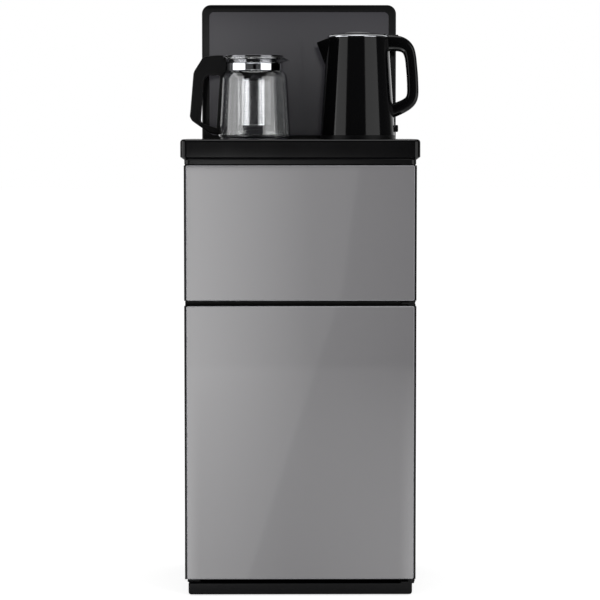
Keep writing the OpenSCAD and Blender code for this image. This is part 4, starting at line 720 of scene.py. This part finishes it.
def make_teapot_handle():
    """The D-shaped handle with a thin strap along the glass."""
    foot, top = 6, 152
    reach = POT_FOOT_R + 51.1
    outer = [(NECK_R - 2, top), (reach - 47.9, top), (reach - 26.9, top - 2), (reach - 22, top - 5.3)]
    outer += corner(reach - 26.2, SIDE_H + 9, 21, 34, 8, 6) + [(reach, 53)]
    outer += corner(reach - 16.4, 44, 18, -10, -58, 8)
    outer += [(reach - 34.4, foot + 3.5), (POT_FOOT_R, foot), (SHOULDER_R - 5, foot)]
    hole = corner(SHOULDER_R + 6, SIDE_H + 7, 3, 180, 90, 3) + corner(reach - 37.4, SIDE_H - 2, 12, 90, 8, 8)
    hole += [(reach - 20.9, 60)] + corner(reach - 27.4, 34, 8.3, 0, -70, 6) + [(POT_FOOT_R + 4, foot + 13)]
    outer, hole = ([(-x, z) for x, z in points] for points in (outer, hole))
    bm = outline_slab(outer, teapot_foot, HANDLE_HALF, HANDLE_EDGE, hole=hole, segments=5)
    solid = [(0, -1), (55, -1)] + [(r + HANDLE_GAP, z) for r, z in pot_side(0)]
    lip = NECK_R + LIP_FLARE + BEAD
    solid += [(lip, POT_H - BEAD), (lip, POT_H + 5), (0, POT_H + 5)]
    bm = combine(bm, lathe(solid, teapot_foot, steps=96))
    band_low, band_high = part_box("teapot_band")
    below, above = (Vector((*teapot_foot.xy, z)) for z in (band_low.z - 0.2 * MM, band_high.z + 0.2 * MM))
    bm = combine(bm, rod(below, above, (NECK_R + 1.5) * MM, 96))
    piece(bm, "teapot_grip", "teapot", "satin_black_plastic", ["teapot_handle"])


def make_infuser():
    """The steel infuser: a bowl that hangs in the lip, a funnel, and a perforated tube."""
    low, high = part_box("teapot_infuser")
    base = (low.z - teapot_foot.z) / MM
    r, t, bottom, top = TUBE_R, STEEL, base + TUBE_FOOT, TUBE_TOP - 3
    neck_r, funnel = NECK_R - GLASS - 2.5, SIDE_H + SHOULDER_H + 3
    brim, brim_z = (high.x - low.x) / 2 / MM, (high.z - teapot_foot.z) / MM
    bowl = [(r, top), (r, TUBE_TOP), (neck_r, funnel), (neck_r, brim_z - 2.8), (brim, brim_z - t),
            (brim, brim_z), (neck_r - t, brim_z - 2), (neck_r - t, funnel + t), (r - t, TUBE_TOP + t),
            (r - t, top)]
    piece(lathe(bowl, teapot_foot, closed=True), "infuser_funnel", "infuser_body", "brushed_stainless",
          ["teapot_infuser"], finish=BRIGHT_STEEL)
    bm = bmesh.new()
    step = (top - bottom) / SIEVE_ROWS
    bmesh.ops.create_circle(bm, segments=SIEVE_COLUMNS, radius=(r - 0.1) * MM,
                            matrix=Matrix.Translation(teapot_foot + Z * bottom * MM))
    for row in range(SIEVE_ROWS):
        ring = [e for e in bm.edges if len(e.link_faces) < 2
                and min(v.co.z for v in e.verts) > teapot_foot.z + (bottom + step * row) * MM - TINY]
        made = bmesh.ops.extrude_edge_only(bm, edges=ring)
        bmesh.ops.translate(bm, vec=Z * step * MM, verts=new_verts(made))
    bmesh.ops.inset_individual(bm, faces=list(bm.faces), thickness=SIEVE_BAR * MM)
    holes = [f for f in bm.faces if f.calc_area() > HOLE_AREA]
    bmesh.ops.delete(bm, geom=holes, context="FACES")
    bmesh.ops.recalc_face_normals(bm, faces=bm.faces)
    bmesh.ops.solidify(bm, geom=list(bm.faces), thickness=SIEVE_STEEL * MM)
    piece(bm, "infuser_sieve", "infuser_body", "brushed_stainless", sharp=math.radians(40))
    cup = [(0, base), (r - 1.5, base)] + corner(r - 1.5, base + 1.5, 1.5, -90, 0, 4)
    cup += [(r, bottom), (r - t, bottom), (r - t, base + 1.6), (r - 2, base + t), (0, base + t)]
    piece(lathe(cup, teapot_foot), "infuser_cup", "infuser_body", "brushed_stainless")


def make_teapot_lid():
    """The flat lid, pressed from steel: a recess with a low rim in its middle."""
    low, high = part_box("teapot_lid")
    center = Vector((*teapot_foot.xy, low.z))
    r = (high.x - low.x) / 2 / MM
    section = [(0, 1.5), (30, 1.5), (34, 0), (r, 0), (r, 0.8)] + corner(r - 1, 4, 1, 0, 80, 4)
    section += [(36.5, 5.2)] + corner(36, 4.6, 0.7, 80, 180, 3) + [(31.5, 3.3), (0, 3.3)]
    piece(lathe(section, center), "teapot_cover", "teapot_lid_body", "brushed_stainless", ["teapot_lid"],
          finish=BRIGHT_STEEL)


# Floor, lights and camera

CAMERA = Vector((-0.0411, -4.5, 0.8429))
LENS, SENSOR = 144.81, 36               # millimetres
TILT, PAN = -4.023, -0.535              # degrees
CARD_Y = -4.4                           # the cards stand beside the camera
LAMP_DISTANCE, LAMP_HEIGHT, LAMP_TALL, LAMP_RADIANCE = 3.0, 1.25, 2.4, 2.0


def place_camera():
    """The camera of the photograph, fitted to the doors, the deck and the tower."""
    data = bpy.data.cameras.new("camera")
    data.lens, data.sensor_width, data.clip_end = LENS, SENSOR, 60
    camera = bpy.data.objects.new("camera", data)
    camera.location = CAMERA
    camera.rotation_euler = (math.radians(90 + TILT), 0, math.radians(PAN))
    bpy.context.scene.collection.objects.link(camera)
    bpy.context.scene.camera = camera


def seen_rays(tree):
    """The light path, and 1 on rays from gloss and through glass and 0 on the rest."""
    path = add(tree, "ShaderNodeLightPath")
    seen = add(tree, MATH, [(path.outputs["Is Glossy Ray"], 0), (path.outputs["Is Transmission Ray"], 1)],
               operation="MAXIMUM")
    return path, seen


# The world's light by direction: the axis, where a change starts and ends along it, and its strength there
WORLD_FADES = {
    "behind": ("Y", 0.5, 0.9, 0.01, 1.0),
    "above": ("Z", 0.9, 0.97, 0.0, 2.7),
    "left_from": ("Y", -0.27, -0.24, 0.0, 3.0),
    "left_to": ("Y", 0.06, 0.16, 3.0, 0.0),
    "left_of": ("X", -0.8, -0.7, 3.0, 0.0),
    "sides_to": ("Y", 0.1, 0.25, 1.0, 0.0),
    "sides_level": ("X", -0.2, 0.2, 2.3, 1.8),
}
SIDES_FROM = (0.53, 0.66, 0.0, 1.0)     # the same for the bands at the sides, to the left and to the right
GLOSS_LEAST, MATT_LEVEL = 0.07, 0.42    # the least that gloss sees, and what lights matt surfaces


def make_world():
    """A plain pale studio: white behind, darker in front, as a black gloss shows it. Gloss also sees a
    bright patch at the left, and glass lets through a bright band at each side."""
    world = bpy.data.worlds.new("studio")
    bpy.context.scene.world = world
    world.use_nodes = True
    tree = world.node_tree
    tree.nodes.clear()
    path, seen = seen_rays(tree)
    place = add(tree, "ShaderNodeTexCoord")
    axes = add(tree, "ShaderNodeSeparateXYZ", [(place.outputs["Generated"], 0)])
    fades = {name: add(tree, MAP, [(axes.outputs[axis], 0)], zip(RANGE, limits)).outputs[0]
             for name, (axis, *limits) in WORLD_FADES.items()}
    bright = add(tree, MATH, [(fades["behind"], 0), (fades["above"], 1)], operation="MAXIMUM")
    left = add(tree, MATH, [(fades["left_from"], 0), (fades["left_to"], 1)], operation="MINIMUM")
    left = add(tree, MATH, [(left.outputs[0], 0), (fades["left_of"], 1)], operation="MINIMUM")
    gloss = add(tree, MATH, [(bright.outputs[0], 0), (left.outputs[0], 1)], operation="MAXIMUM")
    gloss = add(tree, MATH, [(gloss.outputs[0], 0)], [(1, GLOSS_LEAST)], operation="MAXIMUM")
    aside = add(tree, MATH, [(axes.outputs["X"], 0)], operation="ABSOLUTE")
    sides = add(tree, MAP, [(aside.outputs[0], 0)], zip(RANGE, SIDES_FROM))
    sides = add(tree, MATH, [(sides.outputs[0], 0), (fades["sides_to"], 1)], operation="MINIMUM")
    sides = add(tree, MATH, [(sides.outputs[0], 0), (fades["sides_level"], 1)], operation="MULTIPLY")
    through = add(tree, MATH, [(bright.outputs[0], 0), (sides.outputs[0], 1)], operation="MAXIMUM")
    mirrored = add(tree, "ShaderNodeMix", [(path.outputs["Is Transmission Ray"], 0), (gloss.outputs[0], 2),
                                           (through.outputs[0], 3)])
    level = add(tree, "ShaderNodeMix", [(seen.outputs[0], 0), (mirrored.outputs[0], 3)], [(2, MATT_LEVEL)])
    level = add(tree, "ShaderNodeMix", [(path.outputs["Is Camera Ray"], 0), (level.outputs[0], 2)],
                [(3, 1.0)])
    light = add(tree, "ShaderNodeBackground", [(level.outputs[0], "Strength")], [("Color", (1, 1, 1, 1))])
    add(tree, "ShaderNodeOutputWorld", [(light.outputs[0], "Surface")])


def soft_box(name, angle, width):
    """A tall lamp panel that faces the object: angle is from the front, to the right."""
    data = bpy.data.lights.new(name, "AREA")
    data.shape = "RECTANGLE"
    data.size, data.size_y = width, LAMP_TALL
    data.energy = LAMP_RADIANCE * math.pi * width * LAMP_TALL
    lamp = bpy.data.objects.new(name, data)
    turn = math.radians(angle)
    lamp.location = (LAMP_DISTANCE * math.sin(turn), -LAMP_DISTANCE * math.cos(turn), LAMP_HEIGHT)
    lamp.rotation_euler = (math.pi / 2, 0, turn)
    lamp.visible_camera = False
    bpy.context.scene.collection.objects.link(lamp)


def gloss_card(name, low, high, strength_at=None):
    """A flat card that only gloss sees, flat in Y or in X. strength_at joins the nodes of its glow; without
    it the card is black."""
    bm = bmesh.new()
    middle = (low + high) / 2
    size = high - low
    axis, spread = ("X", (size.x, size.z, 1, 1)) if size.y == 0 else ("Y", (size.z, size.y, 1, 1))
    turn = Matrix.Rotation(math.pi / 2, 4, axis)
    bmesh.ops.create_grid(bm, x_segments=1, y_segments=1, size=0.5,
                          matrix=Matrix.Translation(middle) @ turn @ Matrix.Diagonal(spread))
    card = as_object(bm, name)
    made = bpy.data.materials.new(name)
    made.use_nodes = True
    tree = made.node_tree
    tree.nodes.clear()
    place = add(tree, "ShaderNodeTexCoord")
    axes = add(tree, "ShaderNodeSeparateXYZ", [(place.outputs["Object"], 0)])
    joined = [(strength_at(tree, axes).outputs[0], "Strength")] if strength_at else ()
    glow = add(tree, "ShaderNodeEmission", joined, [("Strength", 0.0)])
    add(tree, "ShaderNodeOutputMaterial", [(glow.outputs[0], "Surface")])
    card.data.materials.append(made)
    card.visible_camera = card.visible_diffuse = card.visible_transmission = card.visible_shadow = False


MIRROR_X, MIRROR_Y = 0.0411, 4.158      # the bearing's origin is at -MIRROR_X and MIRROR_Y, behind the doors
# What the panes mirror, by bearing: where a change starts and ends, and the strength there
FAR_LEFT, FAR_RIGHT = (-0.037, 0.031, 5.1, 0.4), (0.005, 0.056, 1.75, 0.75)
NEAR_LEFT, NEAR_RIGHT = (-0.037, 0.0135, 3.0, 1.4), (0.0135, 0.056, 1.7, 2.1)
RIGHT_END, LEFT_END = (0.051, 0.057, 0.0, 2.0), (-0.039, -0.033, 2.2, 0.0)
# The slanting edges that the doors and the floor mirror: a slope and an offset
UPPER_SLANT, LOWER_SLANT, FLOOR_SLANT = (-0.129, -0.156), (-0.336, -0.097), (0.0478, 0.1134)
SLANT_CHANGE = (-0.006, 0.006, 0.12, -0.36)
FLOOR_FRONT, FLOOR_SIDES = (-0.31, -0.26, 6.0, 0.4), (0.5, 0.75, 6.0, 0.4)     # where the floor's mirrored glow drops: painted shade near and under the object, dim far to the sides
TOWER_DOWN, TOWER_ACROSS = (0.87, 1.15, 0.1, 0.95), (-0.3, -0.1, 1.8, 1.05)
# Metres from the tower's card: the deck's front mirrors it from nearer, the tower from farther, and the
# pots between them don't
DECK_RANGE, TOWER_RANGE = (4.255, 4.265, 1.0, 0.0), (4.44, 4.47, 0.0, 1.0)


def pane_glow(tree, axes):
    """What the flat panes mirror: a light that falls off to the right, and more evenly near the floor. It is
    set by the bearing from a point behind the doors, so the card and the floor meet without a seam."""
    reach = add(tree, MATH, [(axes.outputs["Y"], 1)], [(0, MIRROR_Y)], operation="SUBTRACT")
    across = add(tree, MATH, [(axes.outputs["X"], 0)], [(1, MIRROR_X)], operation="ADD")
    bearing = add(tree, MATH, [(across.outputs[0], 0), (reach.outputs[0], 1)], operation="DIVIDE")
    fades = [add(tree, MAP, [(bearing.outputs[0], 0)], zip(RANGE, limits)).outputs[0]
             for limits in (FAR_LEFT, FAR_RIGHT, NEAR_LEFT, NEAR_RIGHT, RIGHT_END, LEFT_END)]
    far = add(tree, MATH, [(fades[0], 0), (fades[1], 1)], operation="MAXIMUM")
    near = add(tree, MATH, [(fades[2], 0), (fades[3], 1)], operation="MAXIMUM")
    for end in fades[4:]:
        near = add(tree, MATH, [(near.outputs[0], 0), (end, 1)], operation="ADD")
    share = add(tree, MAP, [(axes.outputs["Y"], 0)], zip(RANGE, (CARD_Y, -0.5, 0.0, 1.0)))
    return add(tree, "ShaderNodeMix", [(share.outputs[0], 0), (far.outputs[0], 2), (near.outputs[0], 3)])


def slant(tree, axes, edge):
    """The panes' glow, slightly darker beyond a slanting edge."""
    beyond = add(tree, MATH, [(edge.outputs[0], 0), (axes.outputs["X"], 1)], operation="ADD")
    change = add(tree, MAP, [(beyond.outputs[0], 0)], zip(RANGE, SLANT_CHANGE))
    return add(tree, MATH, [(pane_glow(tree, axes).outputs[0], 0), (change.outputs[0], 1)], operation="ADD")


def door_glow(tree, axes):
    """Each door mirrors its own slanting edge."""
    upper, lower = (add(tree, MATH, [(axes.outputs["Z"], 0)], zip((1, 2), line), operation="MULTIPLY_ADD")
                    for line in (UPPER_SLANT, LOWER_SLANT))
    edge = add(tree, MATH, [(upper.outputs[0], 0), (lower.outputs[0], 1)], operation="MAXIMUM")
    return slant(tree, axes, edge)


def floor_glow(tree, axes):
    """The doors' lowest part mirrors the floor. The floor's glow, seen by gloss alone, is painted light: a
    bright pool in front, low beside the object, and low under it as painted shade.
    """
    edge = add(tree, MATH, [(axes.outputs["Y"], 0)], zip((1, 2), FLOOR_SLANT), operation="MULTIPLY_ADD")
    aside = add(tree, MATH, [(axes.outputs["X"], 0)], operation="ABSOLUTE")
    glow = slant(tree, axes, edge)
    for place, limits in ((axes.outputs["Y"], FLOOR_FRONT), (aside.outputs[0], FLOOR_SIDES)):
        limit = add(tree, MAP, [(place, 0)], zip(RANGE, limits))
        glow = add(tree, MATH, [(glow.outputs[0], 0), (limit.outputs[0], 1)], operation="MINIMUM")
    return glow


def tower_glow(tree, axes):
    """Fades from the tower's top down, and a little from the left."""
    path = add(tree, "ShaderNodeLightPath")
    glow = add(tree, MAP, [(axes.outputs["Z"], 0)], zip(RANGE, TOWER_DOWN))
    across = add(tree, MAP, [(axes.outputs["X"], 0)], zip(RANGE, TOWER_ACROSS))
    deck, tower = (add(tree, MAP, [(path.outputs["Ray Length"], 0)], zip(RANGE, limits))
                   for limits in (DECK_RANGE, TOWER_RANGE))
    reached = add(tree, MATH, [(deck.outputs[0], 0), (tower.outputs[0], 1)], operation="MAXIMUM")
    for factor in (reached, across):
        glow = add(tree, MATH, [(glow.outputs[0], 0), (factor.outputs[0], 1)], operation="MULTIPLY")
    return glow


def make_floor():
    """A plain pale floor that shows white, with the object's shadow on it."""
    bm = bmesh.new()
    bmesh.ops.create_circle(bm, cap_ends=True, segments=64, radius=30)
    floor = as_object(bm, "floor")
    made, tree, shader = new_material("floor_paint", [
        ("Base Color", rgb("E6E6E6")), ("Roughness", 0.9), ("Specular IOR Level", 0.0),
        ("Emission Color", (1, 1, 1, 1))])
    path, seen = seen_rays(tree)
    place = add(tree, "ShaderNodeTexCoord")
    axes = add(tree, "ShaderNodeSeparateXYZ", [(place.outputs["Object"], 0)])
    mirrored = floor_glow(tree, axes)
    level = add(tree, "ShaderNodeMix", [(seen.outputs[0], 0), (mirrored.outputs[0], 3)], [(2, 0.0)])
    for ray, strength in (("Is Transmission Ray", 0.05), ("Is Camera Ray", 0.7)):
        level = add(tree, "ShaderNodeMix", [(path.outputs[ray], 0), (level.outputs[0], 2)], [(3, strength)])
    tree.links.new(level.outputs[0], shader.inputs["Emission Strength"])
    floor.data.materials.append(made)


def make_studio():
    """The camera, the ground, the lamps, and the cards that gloss mirrors."""
    bpy.context.scene.view_settings.view_transform = "Standard"
    place_camera()
    make_world()
    make_floor()
    soft_box("left_panel", -56, 2.0)
    soft_box("right_panel", 48, 2.5)
    gloss_card("door_card", Vector((-0.37, CARD_Y, 0)), Vector((0.45, CARD_Y, 0.712)), door_glow)
    gloss_card("tower_card", Vector((-0.4, CARD_Y, 0.73)), Vector((0.46, CARD_Y, 1.287)), tower_glow)
    gloss_card("flag_between_pots", Vector((0.01, -0.101, 0.83)), Vector((0.01, -0.02, 1.02)))


make_studio()
dress_nodes()
make_door_glass("upper")
make_door_glass("lower")
make_deck()
make_tower()
make_warming_plate()
make_bay_seal()
make_kettle_shell()
make_kettle_rim()
make_kettle_lid()
make_kettle_handle()
make_kettle_switch()
make_teapot_glass()
make_teapot_band()
make_teapot_handle()
make_infuser()
make_teapot_lid()

SMOOTHED = {
    "root": ["base_pan", "side_panel_left", "side_panel_right", "rear_panel", "front_frame",
             "tower_back_cover", "cup_liner", "kettle_socket", "pump", "bottle_cap", "suction_lance",
             "suction_hose", "delivery_hose", "fill_nozzle", "stop_valve", "cord_gland", "feet",
             "deck_underpan"],
    "upper_door": ["upper_door_frame"],
    "lower_door": ["lower_door_frame"],
    "kettle": ["kettle_base", "kettle_pot", "kettle_coupler"],
}
slots = {part["node"]: part["material_slot"] for part in frame["record"]["subparts"]}
for body, nodes in SMOOTHED.items():
    for node in nodes:
        smooth_copy(node, body, slots[node], 0 if "hose" in node or node == "cup_liner" else 0.3)
